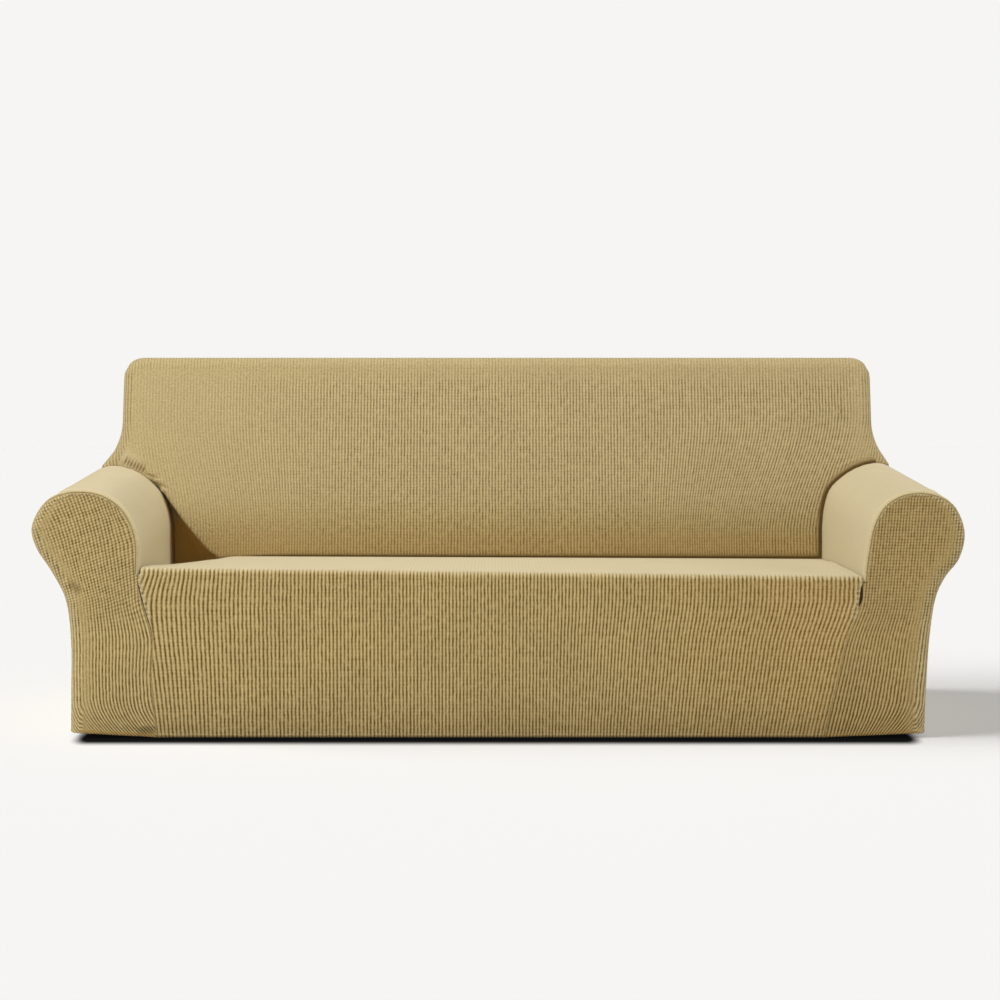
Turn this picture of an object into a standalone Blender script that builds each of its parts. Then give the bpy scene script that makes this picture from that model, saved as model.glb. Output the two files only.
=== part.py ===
"""Fitted stretch-knit slipcover, three seats wide, with rolled arms.

Metres, +Z up, X across the seat and Y from front to back. The origin is on the floor under the
middle of the cover. Each panel is drawn as the inner face of its cloth and thickened outwards, so
every panel below is an open surface with a Solidify modifier. Depths are measured back from the
arm fronts, and each arm is worked out on the +X side and mirrored where it is the left one.
"""

import math
from collections import namedtuple

import bmesh
import bpy
from mathutils import Vector

# Cloth and seams.
CLOTH = 0.003
GAP = 0.0003
SEAM_LIFT = CLOTH + GAP
WELD = 0.00001

BACK_STRAW = (0.40, 0.30, 0.15)
FRONT_STRAW = (0.38, 0.28, 0.13)
ARM_STRAW = (0.44, 0.33, 0.17)

# Overall form.
DEPTH = 0.88
FRONT_Y = -DEPTH / 2
SEAT_HEIGHT = 0.392
SEAT_TILT = 0.010  # the front edge stands this much higher at the left and lower at the right
SEAT_TILT_LOST = 0.6  # the share of that tilt that is gone by the back
SEAT_HALF_WIDTH = 0.855
SEAT_EDGE = 0.010
DECK_CLEAR = 0.0009
DECK_SHIFT = 0.007
HEM_HEIGHT = 0.002
HEM_CORNER_X, HEM_CORNER_REACH, HEM_CORNER_LIFT = 0.93, 0.08, 0.010

# Back.
BACK_TOP = 0.910
BACK_HALF_WIDTH = 0.998
BACK_CORNER = 0.050
BACK_EDGE = 0.030
BACK_FOOT = 0.580
BACK_LEAN = 0.23
BACK_CROWN = 0.012
FLARE_OUT = 0.045
FLARE_FOOT = 0.625
FLARE_RISE = 0.115
SIDE_RISE = 0.038
TOP_LEFT, TOP_RIGHT = 0.765, 0.800
CREASE = 0.015
TUCK_UNDER = 0.008

# Arms: the rear section is reached where the inside back begins.
SECTION_DEPTH = 0.65
TURN_START, TURN_SIDE, TURN_END = 6, 6.5, 7
REAR_ROUND = 0.012
REAR_ROUND_ROWS = 1.5
REAR_REACH = 0.060

# The deep fold between the left arm and the inside back, and its slanted edge as (x, z).
RECESS_DEPTH = 0.095
RECESS_TOP = 4.6
RECESS_WALL = 0.012
RECESS_EDGE = ((0.735, 0.409), (0.772, 0.424), (0.832, 0.492))
RECESS_END = 0.738
RECESS_TURN = 0.015
RECESS_SHARES = (0.28, 0.18, 0.09)  # where the seat's corner and two columns meet that edge
SINK = 0.026
SINK_X, SINK_DEPTH, SINK_REACH = 0.66, 0.46, 0.20

# Lifts of the inside back off the arm: at its seam, just above it, and where its face begins.
STRIP_LIFTS = (SEAM_LIFT + 0.0004, 0.009, 0.022)
FOOT_RISE = 0.008
FACE_RISE = 0.020
FACE_RISE_PER_ROW = 0.010
FOLD_UP, FOLD_OUT = 0.6, 0.8
SEAT_MARGIN = 0.012
PUCKER = 0.004

ArmRow = namedtuple("ArmRow", "front_x front_z rear_x rear_z front_round seam_deg")
Arm = namedtuple("Arm", "side rows recess slit")
SeamRow = namedtuple("SeamRow", "z left_x right_x")

# One row for each turn of the arm's outline, from the seat up, over the roll and down to the hem.
RIGHT_ROWS = (
    ArmRow(0.866, 0.372, 0.858, 0.376, 0.010, 18),
    ArmRow(0.869, 0.410, 0.859, 0.430, 0.010, 18),
    ArmRow(0.875, 0.450, 0.861, 0.478, 0.010, 18),
    ArmRow(0.886, 0.505, 0.870, 0.530, 0.011, 20),
    ArmRow(0.912, 0.551, 0.890, 0.572, 0.012, 22),
    ArmRow(0.952, 0.577, 0.945, 0.613, 0.012, 24),
    ArmRow(1.000, 0.583, 1.005, 0.630, 0.012, 28),
    ArmRow(1.045, 0.572, 1.048, 0.617, 0.014, 40),
    ArmRow(1.081, 0.543, 1.082, 0.588, 0.018, 62),
    ArmRow(1.103, 0.485, 1.103, 0.533, 0.022, 78),
    ArmRow(1.092, 0.426, 1.094, 0.465, 0.024, 80),
    ArmRow(1.058, 0.380, 1.062, 0.402, 0.026, 80),
    ArmRow(1.036, 0.325, 1.034, 0.335, 0.030, 80),
    ArmRow(1.023, 0.225, 1.020, 0.225, 0.032, 80),
    ArmRow(1.017, 0.110, 1.015, 0.110, 0.032, 80),
    ArmRow(1.013, 0.010, 1.012, 0.004, 0.030, 80),
)
LEFT_ROWS = (
    ArmRow(0.846, 0.388, 0.866, 0.352, 0.010, 18),
    ArmRow(0.845, 0.425, 0.867, 0.425, 0.010, 18),
    ArmRow(0.846, 0.460, 0.868, 0.478, 0.010, 18),
    ArmRow(0.856, 0.503, 0.878, 0.523, 0.011, 20),
    ArmRow(0.881, 0.546, 0.899, 0.562, 0.012, 22),
    ArmRow(0.921, 0.575, 0.948, 0.603, 0.012, 24),
    ArmRow(0.968, 0.586, 1.005, 0.622, 0.012, 28),
    ArmRow(1.020, 0.581, 1.048, 0.617, 0.014, 40),
    ArmRow(1.066, 0.555, 1.080, 0.593, 0.018, 62),
    ArmRow(1.097, 0.498, 1.102, 0.538, 0.022, 78),
    ArmRow(1.086, 0.448, 1.094, 0.470, 0.024, 80),
    ArmRow(1.052, 0.395, 1.062, 0.405, 0.026, 80),
    ArmRow(1.019, 0.325, 1.028, 0.335, 0.030, 80),
    ArmRow(1.008, 0.225, 1.014, 0.225, 0.032, 80),
    ArmRow(1.009, 0.110, 1.013, 0.110, 0.032, 80),
    ArmRow(1.010, 0.012, 1.012, 0.004, 0.030, 80),
)
LEFT = Arm(-1, LEFT_ROWS, RECESS_DEPTH, 0.003)
RIGHT = Arm(1, RIGHT_ROWS, 0.0, 0.004)
LAST_ROW = len(RIGHT_ROWS) - 1

# Where the apron is sewn to the arm fronts, from the hem to the notch under the seat's edge.
APRON_SEAM = (
    SeamRow(HEM_HEIGHT, 0.805, 0.774),
    SeamRow(0.070, 0.812, 0.790),
    SeamRow(0.150, 0.817, 0.808),
    SeamRow(0.235, 0.814, 0.827),
    SeamRow(0.318, 0.836, 0.856),
    SeamRow(0.365, 0.848, 0.861),
)
NOTCH_FOOT = APRON_SEAM[3].z

# Divisions.
PER_ROW = 2
CROWN_INNER, CROWN_OUTER = 4, 8
FACE_SHARES = (0.0, 0.1, 0.2, 0.3, 0.42, 0.7, 1.0)
CORNER_DEGREES = (22.5, 45.0, 67.5, 90.0)
SEAT_COLUMNS = 16
DECK_COLUMNS = 20
TURN_STEPS = 3
RUN_STEPS = 2
ARM_RUN_STEPS = 5
BACK_OUTSIDE_STEP = 2
EDGE_DEGREES = (0, 30, 60, 90)
DECK_SHARES = (0.18, 0.4, 0.62, 0.78, 0.88, 0.95, 1.0)


def mix(low, high, share):
    return low + (high - low) * share


def smooth(share):
    share = min(1.0, max(0.0, share))
    return share * share * (3 - 2 * share)


def spline(values, at):
    """A smooth curve through evenly numbered values, read at a fractional number."""
    first = min(int(at), len(values) - 2)
    share = at - first
    p1, p2 = values[first], values[first + 1]
    p0 = values[first - 1] if first else 2 * p1 - p2
    p3 = values[first + 2] if first + 2 < len(values) else 2 * p2 - p1
    bend = 2 * p0 - 5 * p1 + 4 * p2 - p3
    twist = 3 * (p1 - p2) + p3 - p0
    return 0.5 * (2 * p1 + share * (p2 - p0 + share * (bend + share * twist)))


def column_value(arm, name, at):
    return spline([getattr(row, name) for row in arm.rows], at)


def arm_section(arm, at, depth):
    """The arm's outline at one depth, as (x, z)."""
    share = min(1.0, depth / SECTION_DEPTH)
    x = mix(column_value(arm, "front_x", at), column_value(arm, "rear_x", at), share)
    z = mix(column_value(arm, "front_z", at), column_value(arm, "rear_z", at), share)
    return Vector((x, z))


def arm_normal(arm, at, depth):
    """The way out of the arm at right angles to its outline, as (x, z)."""
    low = arm_section(arm, max(0.0, at - 0.05), depth)
    high = arm_section(arm, min(LAST_ROW, at + 0.05), depth)
    along = (high - low).normalized()
    return Vector((-along.y, along.x))


def placed(arm, flat, depth):
    return Vector((arm.side * flat.x, FRONT_Y + depth, flat.y))


def lifted(arm, at, depth, lift):
    """A point of the arm's outline at one depth, moved straight out of the arm."""
    return arm_section(arm, at, depth) + arm_normal(arm, at, depth) * lift


def face_depth(x, z):
    """How far back the inside back's face stands."""
    rise = max(0.0, z - SEAT_HEIGHT)
    crown = math.sin(math.pi * min(1.0, rise / (BACK_TOP - SEAT_HEIGHT)))
    return BACK_FOOT + BACK_LEAN * rise - BACK_CROWN * max(0.0, 1 - x * x) * crown


def recess_share(at):
    """1 at the foot of the fold beside the arm, 0 at its top."""
    return 1 - (at / RECESS_TOP) ** 2 if at < RECESS_TOP else 0.0


def arm_end(arm, at):
    """The depth where the arm's cloth ends, at the inside back or at the outside back."""
    flat = arm_section(arm, at, SECTION_DEPTH)
    crease = face_depth(flat.x, flat.y) + CREASE + arm.recess * recess_share(at)
    if at <= TURN_START:
        return crease
    side = crease + BACK_EDGE
    if at <= TURN_SIDE:
        return mix(crease, side, (at - TURN_START) / (TURN_SIDE - TURN_START))
    return mix(side, DEPTH - GAP, min(1.0, (at - TURN_SIDE) / (TURN_END - TURN_SIDE)))


def turn_place(arm, depth):
    """Where the arm's end passes a depth as it turns back along the back's side."""
    start, side = arm_end(arm, TURN_START), arm_end(arm, TURN_SIDE)
    if depth <= side:
        return mix(TURN_START, TURN_SIDE, max(0.0, depth - start) / (side - start))
    share = (depth - side) / (DEPTH - GAP - side)
    return mix(TURN_SIDE, TURN_END, min(1.0, share))


def deck_height(x, depth):
    """The seat's height: tilted along its front edge and sunk beside the left arm."""
    tilt = -SEAT_TILT * x / SEAT_HALF_WIDTH * (1 - SEAT_TILT_LOST * smooth(depth / BACK_FOOT))
    sink_across = smooth((-x - SINK_X) / SINK_REACH)
    sink_back = smooth((depth - SINK_DEPTH) / SINK_REACH)
    return SEAT_HEIGHT + tilt - SINK * sink_across * sink_back


def hem_height(x):
    return HEM_HEIGHT + HEM_CORNER_LIFT * smooth((abs(x) - HEM_CORNER_X) / HEM_CORNER_REACH)


def add_grid(bm, columns, rows, place):
    """A grid of faces whose corner in each column and row stands where place says."""
    made = bmesh.ops.create_grid(bm, x_segments=columns, y_segments=rows, size=1)
    for vertex in made["verts"]:
        column = round((vertex.co.x + 1) / 2 * columns)
        row = round((vertex.co.y + 1) / 2 * rows)
        vertex.co = place(column, row)


def coons(bottom, top, left, right):
    """A patch between four edges, as a function of column and row."""
    columns, rows = len(bottom) - 1, len(left) - 1

    def place(column, row):
        u, v = column / columns, row / rows
        across = mix(left[row], right[row], u)
        upward = mix(bottom[column], top[column], v)
        corners = mix(mix(bottom[0], bottom[-1], u), mix(top[0], top[-1], u), v)
        return across + upward - corners

    return columns, rows, place


# ---- Arms and arm fronts ----


def arm_columns():
    return [step / PER_ROW for step in range(LAST_ROW * PER_ROW + 1)]


def front_edge(arm, at, degrees):
    """A point of the arm's rounded front edge, from 0 on the front to 90 on the arm's side."""
    turn = column_value(arm, "front_round", at)
    angle = math.radians(degrees)
    flat = lifted(arm, at, turn, -turn * (1 - math.sin(angle)))
    return placed(arm, flat, turn * (1 - math.cos(angle)))


def seam_clear(arm, at):
    """Half the seam's gap, as an angle round the front edge."""
    return math.degrees(GAP / 2 / column_value(arm, "front_round", at))


def rear_rounding(at):
    """How much the arm's end rounds onto the outside back: none where it meets the inside back."""
    return smooth((at - TURN_END) / REAR_ROUND_ROWS)


def rear_reach(at):
    return mix(REAR_REACH, REAR_ROUND, rear_rounding(at))


def arm_rear(arm, at, degrees):
    """A point of the arm's rear end, from 0 where it starts to turn to 90 at its seam."""
    angle = math.radians(degrees)
    end = arm_end(arm, at)
    depth = end - rear_reach(at) * (1 - math.sin(angle))
    inset = REAR_ROUND * rear_rounding(at) * (1 - math.cos(angle))
    return placed(arm, lifted(arm, at, depth, -inset), depth)


def arm_point(arm, at, row):
    """Row by row from the front seam, round the edge, along the arm and round its rear end."""
    if row <= TURN_STEPS:
        start = column_value(arm, "seam_deg", at) + seam_clear(arm, at)
        return front_edge(arm, at, mix(start, 90, row / TURN_STEPS))
    if row < TURN_STEPS + ARM_RUN_STEPS:
        share = (row - TURN_STEPS) / ARM_RUN_STEPS
        depth = mix(column_value(arm, "front_round", at), arm_end(arm, at) - rear_reach(at), share)
        return placed(arm, arm_section(arm, at, depth), depth)
    return arm_rear(arm, at, 90 * (row - TURN_STEPS - ARM_RUN_STEPS) / TURN_STEPS)


def make_arm(name, arm, material):
    bm = bmesh.new()
    columns = arm_columns()
    rows = 2 * TURN_STEPS + ARM_RUN_STEPS
    add_grid(bm, len(columns) - 1, rows, lambda c, r: arm_point(arm, columns[c], r))
    return make_sheet(name, bm, material, arm.side < 0)


def seam_x(arm, row):
    return row.left_x if arm.side < 0 else row.right_x


def slit(arm, z):
    """Half the width of the notch left open under the seat's front corner."""
    share = (z - NOTCH_FOOT) / (APRON_SEAM[-1].z - NOTCH_FOOT)
    return arm.slit * smooth(1.5 * share)


def arm_front_edges(arm):
    """The four edges of the arm front's flat part: hem, crown, outer side and inner side."""
    outer = [front_edge(arm, at, 0) for at in arm_columns() if at >= CROWN_OUTER][::-1]
    crown = [front_edge(arm, at, 0) for at in arm_columns() if CROWN_INNER <= at <= CROWN_OUTER]
    wall = [front_edge(arm, at, 0) for at in arm_columns() if at <= CROWN_INNER]
    seam = []
    for row in APRON_SEAM:
        x = seam_x(arm, row) + slit(arm, row.z) + GAP / 2
        seam.append(placed(arm, Vector((x, row.z)), 0))
    inner = seam + wall
    hem = []
    for step in range(len(crown)):
        x = mix(abs(outer[0].x), abs(inner[0].x), step / (len(crown) - 1))
        hem.append(placed(arm, Vector((x, hem_height(x))), 0))
    hem[0], hem[-1] = outer[0], inner[0]
    return hem, crown[::-1], outer, inner


def make_arm_front(name, arm, material):
    bm = bmesh.new()
    add_grid(bm, *coons(*arm_front_edges(arm)))
    bmesh.ops.reverse_faces(bm, faces=bm.faces)
    columns = arm_columns()

    def rolled(column, row):
        at = columns[column]
        end = column_value(arm, "seam_deg", at) - seam_clear(arm, at)
        return front_edge(arm, at, end * row / TURN_STEPS)

    add_grid(bm, len(columns) - 1, TURN_STEPS, rolled)
    return make_sheet(name, bm, material, arm.side < 0)


# ---- Inside back ----


def side_outline(z):
    """The back's side at one height and the way out of it, flared down to the arm: (x, z) pairs."""
    share = min(1.0, max(0.0, (z - FLARE_FOOT) / FLARE_RISE))
    x = BACK_HALF_WIDTH + FLARE_OUT * (1 - share) ** 2
    slope = 2 * FLARE_OUT * (1 - share) / FLARE_RISE
    return Vector((x, z)), Vector((1, slope)).normalized()


def corner_outline(degrees):
    """The back's rounded top corner, from 0 at the side to 90 at the top: point and way out."""
    angle = math.radians(degrees)
    out = Vector((math.cos(angle), math.sin(angle)))
    centre = Vector((BACK_HALF_WIDTH - BACK_CORNER, BACK_TOP - BACK_CORNER))
    return centre + out * BACK_CORNER, out


def side_frames(arm):
    """Up the back's side and half way round its corner, one point and way out for each row."""
    foot = arm_section(arm, TURN_START, SECTION_DEPTH).y + SIDE_RISE
    frames = []
    for share in FACE_SHARES:
        frames.append(side_outline(mix(foot, BACK_TOP - BACK_CORNER, share)))
    for degrees in CORNER_DEGREES[:2]:
        frames.append(corner_outline(degrees))
    return frames


def face_edge(frame):
    """The edge of the face beside a point of the back's outline, as (x, z)."""
    point, out = frame
    return point - out * BACK_EDGE


def pucker(arm, at):
    """The small gathers where the left arm's roll runs into the back."""
    if arm.side > 0 or not RECESS_TOP - 0.2 < at < TURN_START:
        return 0.0
    return PUCKER * math.cos(2 * math.pi * at)


def recess_edge(share):
    """The fold's slanted edge, from 0 at the seat to 1 at its top, as (x, z)."""
    edge = [Vector(point) for point in RECESS_EDGE]
    edge.append(lifted(LEFT, RECESS_TOP, SECTION_DEPTH, STRIP_LIFTS[2]))
    return spline(edge, share * (len(edge) - 1))


def face_foot(arm, at):
    """Where the face begins beside the arm, as (x, z): along the fold's slanted edge on the left."""
    if at == TURN_START:
        return face_edge(side_frames(arm)[0])
    if arm.recess and at < RECESS_TOP:
        return recess_edge(mix(RECESS_SHARES[0], 1, at / RECESS_TOP))
    flat = lifted(arm, at, SECTION_DEPTH, STRIP_LIFTS[2] + pucker(arm, at))
    flat.y = max(flat.y, SEAT_HEIGHT + FACE_RISE + FACE_RISE_PER_ROW * at)
    return flat


def seat_stations():
    """(x at the seat, the face's foot) for each column between the arms, from left to right."""
    wall = arm_section(LEFT, 0, SECTION_DEPTH).x - SEAM_LIFT
    turned = RECESS_END + RECESS_TURN
    found = [(-(wall + turned) / 2, recess_edge(RECESS_SHARES[1]))]
    found.append((-turned, recess_edge(RECESS_SHARES[2])))
    edge_x, edge_z = RECESS_EDGE[0]
    right = face_foot(RIGHT, 0).x - SEAT_MARGIN
    for step in range(SEAT_COLUMNS):
        share = step / (SEAT_COLUMNS - 1)
        z = mix(edge_z, SEAT_HEIGHT + FACE_RISE, min(1.0, step / 2))
        found.append((mix(-RECESS_END, right, share), Vector((-mix(-edge_x, right, share), z))))
    return found


def crease_depth(x):
    """How far back the inside back's foot stands on the seat."""
    into = min(1.0, max(0.0, (-x - RECESS_END) / RECESS_TURN))
    return mix(BACK_FOOT + CREASE, arm_end(LEFT, 0), into)


def foot_columns():
    """Each column of the inside back as three points up its foot and one where its face begins."""
    arm_steps = [at for at in arm_columns() if at <= TURN_START]
    columns = [arm_foot(LEFT, at) for at in reversed(arm_steps)]
    columns += [seat_foot(x, face) for x, face in seat_stations()]
    return columns + [arm_foot(RIGHT, at) for at in arm_steps]


def arm_foot(arm, at):
    depth = arm_end(arm, at)
    flats = [lifted(arm, at, depth, lift) for lift in STRIP_LIFTS[:2]]
    if at == 0:
        floor = deck_height(arm.side * flats[0].x, depth)
        flats[0].y, flats[1].y = floor - TUCK_UNDER, floor + FOOT_RISE
    low, near = placed(arm, flats[0], depth), placed(arm, flats[1], depth)
    flat = face_foot(arm, at)
    face = placed(arm, flat, face_depth(flat.x, flat.y))
    return fold_column(low, near, face, arm.recess > 0 and at < RECESS_TOP)


def seat_foot(x, face_flat):
    depth = crease_depth(x)
    floor = deck_height(x, depth)
    low = Vector((x, FRONT_Y + depth, floor - TUCK_UNDER))
    near = Vector((x, FRONT_Y + depth, floor + FOOT_RISE))
    face = placed(LEFT, face_flat, face_depth(face_flat.x, face_flat.y))
    return fold_column(low, near, face, -x > RECESS_END + WELD)


def fold_column(low, near, face, deep):
    """A column's foot: straight up to the face, or along the deep fold's rear wall and out."""
    if deep:
        run = Vector((face.x - near.x, 0, face.z - near.z))
        if run.length > RECESS_WALL:
            near = near + run * (1 - RECESS_WALL / run.length)
    return [low, near, fold_middle(near, face), face]


def fold_middle(low, high):
    """Between the crease and the face, nearer the face's front, so that the edge is round."""
    middle = low.lerp(high, FOLD_UP)
    middle.y = mix(low.y, high.y, FOLD_OUT)
    return middle


def top_stations(count_left, count_seat, count_right):
    """The face's top edge, as (x, z), one point for each of its columns."""
    arc = [face_edge(corner_outline(degrees)) for degrees in CORNER_DEGREES[1:]]
    inner = arc[-1].x
    flats = [Vector((-flat.x, flat.y)) for flat in arc]
    for step in range(1, count_left - 2):
        flats.append(Vector((mix(-inner, -TOP_LEFT, step / (count_left - 3)), arc[-1].y)))
    for step in range(1, count_seat + 1):
        flats.append(Vector((mix(-TOP_LEFT, TOP_RIGHT, step / (count_seat + 1)), arc[-1].y)))
    for step in range(count_right - 3):
        flats.append(Vector((mix(TOP_RIGHT, inner, step / (count_right - 3)), arc[-1].y)))
    return flats + arc[::-1]


def face_grid():
    """The inside back from its foot to its top edge, as rows of points from left to right."""
    feet = foot_columns()
    arm_count = TURN_START * PER_ROW + 1
    tops = top_stations(arm_count, len(feet) - 2 * arm_count, arm_count)
    rows = [[column[step] for column in feet] for step in range(3)]
    edges = {}
    for arm in (LEFT, RIGHT):
        edges[arm.side] = [face_edge(frame) for frame in side_frames(arm)]
    heights = [flat.y for flat in edges[RIGHT.side]]
    for step, height in enumerate(heights):
        share = (height - heights[0]) / (heights[-1] - heights[0])
        row = []
        for place, (column, top) in enumerate(zip(feet, tops)):
            face = column[-1]
            edge = edges[-1 if face.x < 0 else 1]
            straight = edge[0].lerp(edge[-1], share)
            follow = edge_weight(place, len(feet)) * (edge[step] - straight)
            x = mix(face.x, top.x, share) + math.copysign(1, face.x) * follow.x
            z = mix(face.z, top.y, share) + follow.y
            row.append(Vector((x, FRONT_Y + face_depth(x, z), z)))
        rows.append(row)
    return rows


def edge_weight(place, count):
    """How closely a column follows the curve of the back's side: 1 at the side itself."""
    inward = min(place, count - 1 - place) / (TURN_START * PER_ROW)
    return max(0.0, 1 - inward) ** 3


def rim_chain(rows):
    """The face's edge up its left side, over the top and down its right, as grid places."""
    last_row, last_column = len(rows) - 1, len(rows[0]) - 1
    chain = [(row, 0) for row in range(last_row)]
    chain += [(last_row, column) for column in range(last_column + 1)]
    return chain + [(row, last_column) for row in reversed(range(last_row))]


def rim_out(rows, row, column):
    """The way out of the back's outline at a place on the face's edge."""
    last = len(rows[0]) - 1
    side, inward = (-1, column) if column < last / 2 else (1, last - column)
    if row < len(rows) - 1:
        out = side_frames(RIGHT)[max(0, row - 3)][1]
    elif inward < 3:
        out = corner_outline(CORNER_DEGREES[1 + inward])[1]
    else:
        out = Vector((0, 1))
    return Vector((side * out.x, 0, out.y))


def rim_point(point, out, step):
    """From the face's edge, round onto the top or side, back along it and round to the rear."""
    if step <= TURN_STEPS:
        angle = math.radians(90 * step / TURN_STEPS)
        back = Vector((0, BACK_EDGE * (1 - math.cos(angle)), 0))
        return point + out * BACK_EDGE * math.sin(angle) + back
    flat = point + out * BACK_EDGE
    start, end = point.y + BACK_EDGE, FRONT_Y + DEPTH - GAP - REAR_ROUND
    if step <= TURN_STEPS + RUN_STEPS:
        flat.y = mix(start, end, (step - TURN_STEPS) / RUN_STEPS)
        return flat
    angle = math.radians(90 * (step - TURN_STEPS - RUN_STEPS) / TURN_STEPS)
    flat -= out * REAR_ROUND * (1 - math.cos(angle))
    flat.y = end + REAR_ROUND * math.sin(angle)
    return flat


def rim_foot(arm, depth, lift):
    """The lowest edge of the back's side, where it runs back along the top of the arm."""
    at = turn_place(arm, depth)
    depth = arm_end(arm, at)
    return placed(arm, lifted(arm, at, depth, lift), depth)


def rim_place(rows, chain, place, step):
    row, column = chain[place]
    out = rim_out(rows, row, column)
    if row > 2:
        return rim_point(rows[row][column], out, step)
    if step == 0:
        return rows[row][column]
    arm = LEFT if column == 0 else RIGHT
    above = rim_point(rows[3][column], out, step)
    depth = above.y - FRONT_Y
    if row < 2:
        return rim_foot(arm, depth, STRIP_LIFTS[row])
    return rim_foot(arm, depth, STRIP_LIFTS[1]).lerp(above, FOLD_UP)


def make_back_inside(material):
    bm = bmesh.new()
    rows = face_grid()
    chain = rim_chain(rows)
    add_grid(bm, len(rows[0]) - 1, len(rows) - 1, lambda c, r: rows[r][c])
    steps = 2 * TURN_STEPS + RUN_STEPS
    add_grid(bm, len(chain) - 1, steps, lambda c, r: rim_place(rows, chain, c, r))
    return make_sheet("back_inside", bm, material)


# ---- Outside back ----


def rear_side(arm, rows, chain):
    """The outside back's edge at one arm, from the hem up the arm's end and the back's side."""
    steps = 2 * TURN_STEPS + RUN_STEPS
    edge = []
    for at in reversed(arm_columns()):
        if at >= TURN_END:
            out = arm_normal(arm, at, DEPTH)
            out = Vector((arm.side * out.x, 0, out.y))
            edge.append(arm_rear(arm, at, 90) - out * GAP)
    last = len(chain) - 1
    for place in range(len(rows)):
        place = place if arm.side < 0 else last - place
        edge.append(rim_place(rows, chain, place, steps) - rim_out(rows, *chain[place]) * GAP)
    for point in edge:
        point.y = FRONT_Y + DEPTH
    return edge


def make_back_outside(material):
    bm = bmesh.new()
    rows = face_grid()
    chain = rim_chain(rows)
    right, left = rear_side(RIGHT, rows, chain), rear_side(LEFT, rows, chain)
    first, last = len(rows) - 1, len(rows) + len(rows[0]) - 2
    places = [first, first + 1] + list(range(first + 2, last - 3, BACK_OUTSIDE_STEP))
    places += [last - 2, last - 1, last]
    top = []
    for place in reversed(places):
        point = rim_place(rows, chain, place, 2 * TURN_STEPS + RUN_STEPS)
        top.append(Vector((point.x, FRONT_Y + DEPTH, point.z - GAP)))
    top[0], top[-1] = right[-1], left[-1]
    count = len(top) - 1
    hem = [right[0].lerp(left[0], step / count) for step in range(count + 1)]
    add_grid(bm, *coons(hem, top, right, left))
    return make_sheet("back_outside", bm, material)


# ---- Seat deck and apron ----


def deck_side(arm, depth):
    """Half the deck's width at one depth, up to the arm's cloth at the deck's own height."""
    low, high = 0.0, 2.0
    while high - low > 0.001:
        middle = (low + high) / 2
        flat = arm_section(arm, middle, depth)
        if flat.y < deck_height(arm.side * flat.x, depth) + CLOTH / 2:
            low = middle
        else:
            high = middle
    return arm_section(arm, low, depth).x - SEAM_LIFT - DECK_CLEAR


def deck_rear(x):
    """The deck's rear edge, just before the inside back, as a depth."""
    into = min(1.0, max(0.0, (-x - RECESS_END - DECK_SHIFT) / RECESS_TURN))
    crease = BACK_FOOT + CREASE - SEAM_LIFT - DECK_CLEAR
    return mix(crease, arm_end(LEFT, 0) - 2 * SEAM_LIFT, into)


def apron_x(arm, row):
    return seam_x(arm, row) - slit(arm, row.z) - GAP / 2


def seat_rows():
    """(kind, value) for each row: the apron's seam rows from the hem up, the edge, the deck."""
    rows = [("apron", row) for row in APRON_SEAM]
    rows += [("edge", degrees) for degrees in EDGE_DEGREES]
    return rows + [("deck", share) for share in DECK_SHARES]


def seat_shares():
    """The columns' places across the seat, with two of them at the deep fold's end."""
    wide = deck_side(LEFT, SECTION_DEPTH) + deck_side(RIGHT, BACK_FOOT)
    start = deck_side(LEFT, SECTION_DEPTH) - RECESS_END - DECK_SHIFT
    turn = [(start - RECESS_TURN) / wide, start / wide]
    rest = []
    for step in range(1, DECK_COLUMNS + 1):
        rest.append(mix(turn[1], 1, 0.5 - 0.5 * math.cos(math.pi * step / DECK_COLUMNS)))
    return [0, turn[0] / 2] + turn + rest


def seat_place(kind, value, share):
    if kind == "apron":
        x = mix(-apron_x(LEFT, value), apron_x(RIGHT, value), share)
        z = hem_height(x) if value is APRON_SEAM[0] else value.z
        return Vector((x, FRONT_Y, z))
    if kind == "edge":
        angle = math.radians(value)
        x = mix(-deck_side(LEFT, SEAT_EDGE), deck_side(RIGHT, SEAT_EDGE), share)
        z = deck_height(x, 0) - SEAT_EDGE * (1 - math.sin(angle))
        return Vector((x, FRONT_Y + SEAT_EDGE * (1 - math.cos(angle)), z))
    guess = mix(-deck_side(LEFT, SECTION_DEPTH), deck_side(RIGHT, BACK_FOOT), share)
    depth = mix(SEAT_EDGE, deck_rear(guess), value)
    x = mix(-deck_side(LEFT, depth), deck_side(RIGHT, depth), share)
    return Vector((x, FRONT_Y + depth, deck_height(x, depth)))


def make_seat_front(material):
    bm = bmesh.new()
    rows, shares = seat_rows(), seat_shares()
    add_grid(bm, len(shares) - 1, len(rows) - 1, lambda c, r: seat_place(*rows[r], shares[c]))
    return make_sheet("seat_front", bm, material)


# ---- Cloth, materials and assembly ----


def make_sheet(name, bm, material, turned=False):
    """Welds a panel's surface and gives it the cloth's thickness, outwards."""
    bmesh.ops.remove_doubles(bm, verts=bm.verts, dist=WELD)
    if turned:
        bmesh.ops.reverse_faces(bm, faces=bm.faces)
    mesh = bpy.data.meshes.new(name)
    bm.to_mesh(mesh)
    bm.free()
    mesh.shade_smooth()
    mesh.materials.append(material)
    sheet = bpy.data.objects.new(name, mesh)
    thickness = sheet.modifiers.new("cloth thickness", "SOLIDIFY")
    thickness.thickness = CLOTH
    thickness.offset = 1
    thickness.use_even_offset = True
    return sheet


def knit_material(name, colour):
    material = bpy.data.materials.new(name)
    material.use_nodes = True
    shader = material.node_tree.nodes["Principled BSDF"]
    shader.inputs["Base Color"].default_value = (*colour, 1)
    shader.inputs["Roughness"].default_value = 0.9
    shader.inputs["Metallic"].default_value = 0.0
    return material


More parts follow.
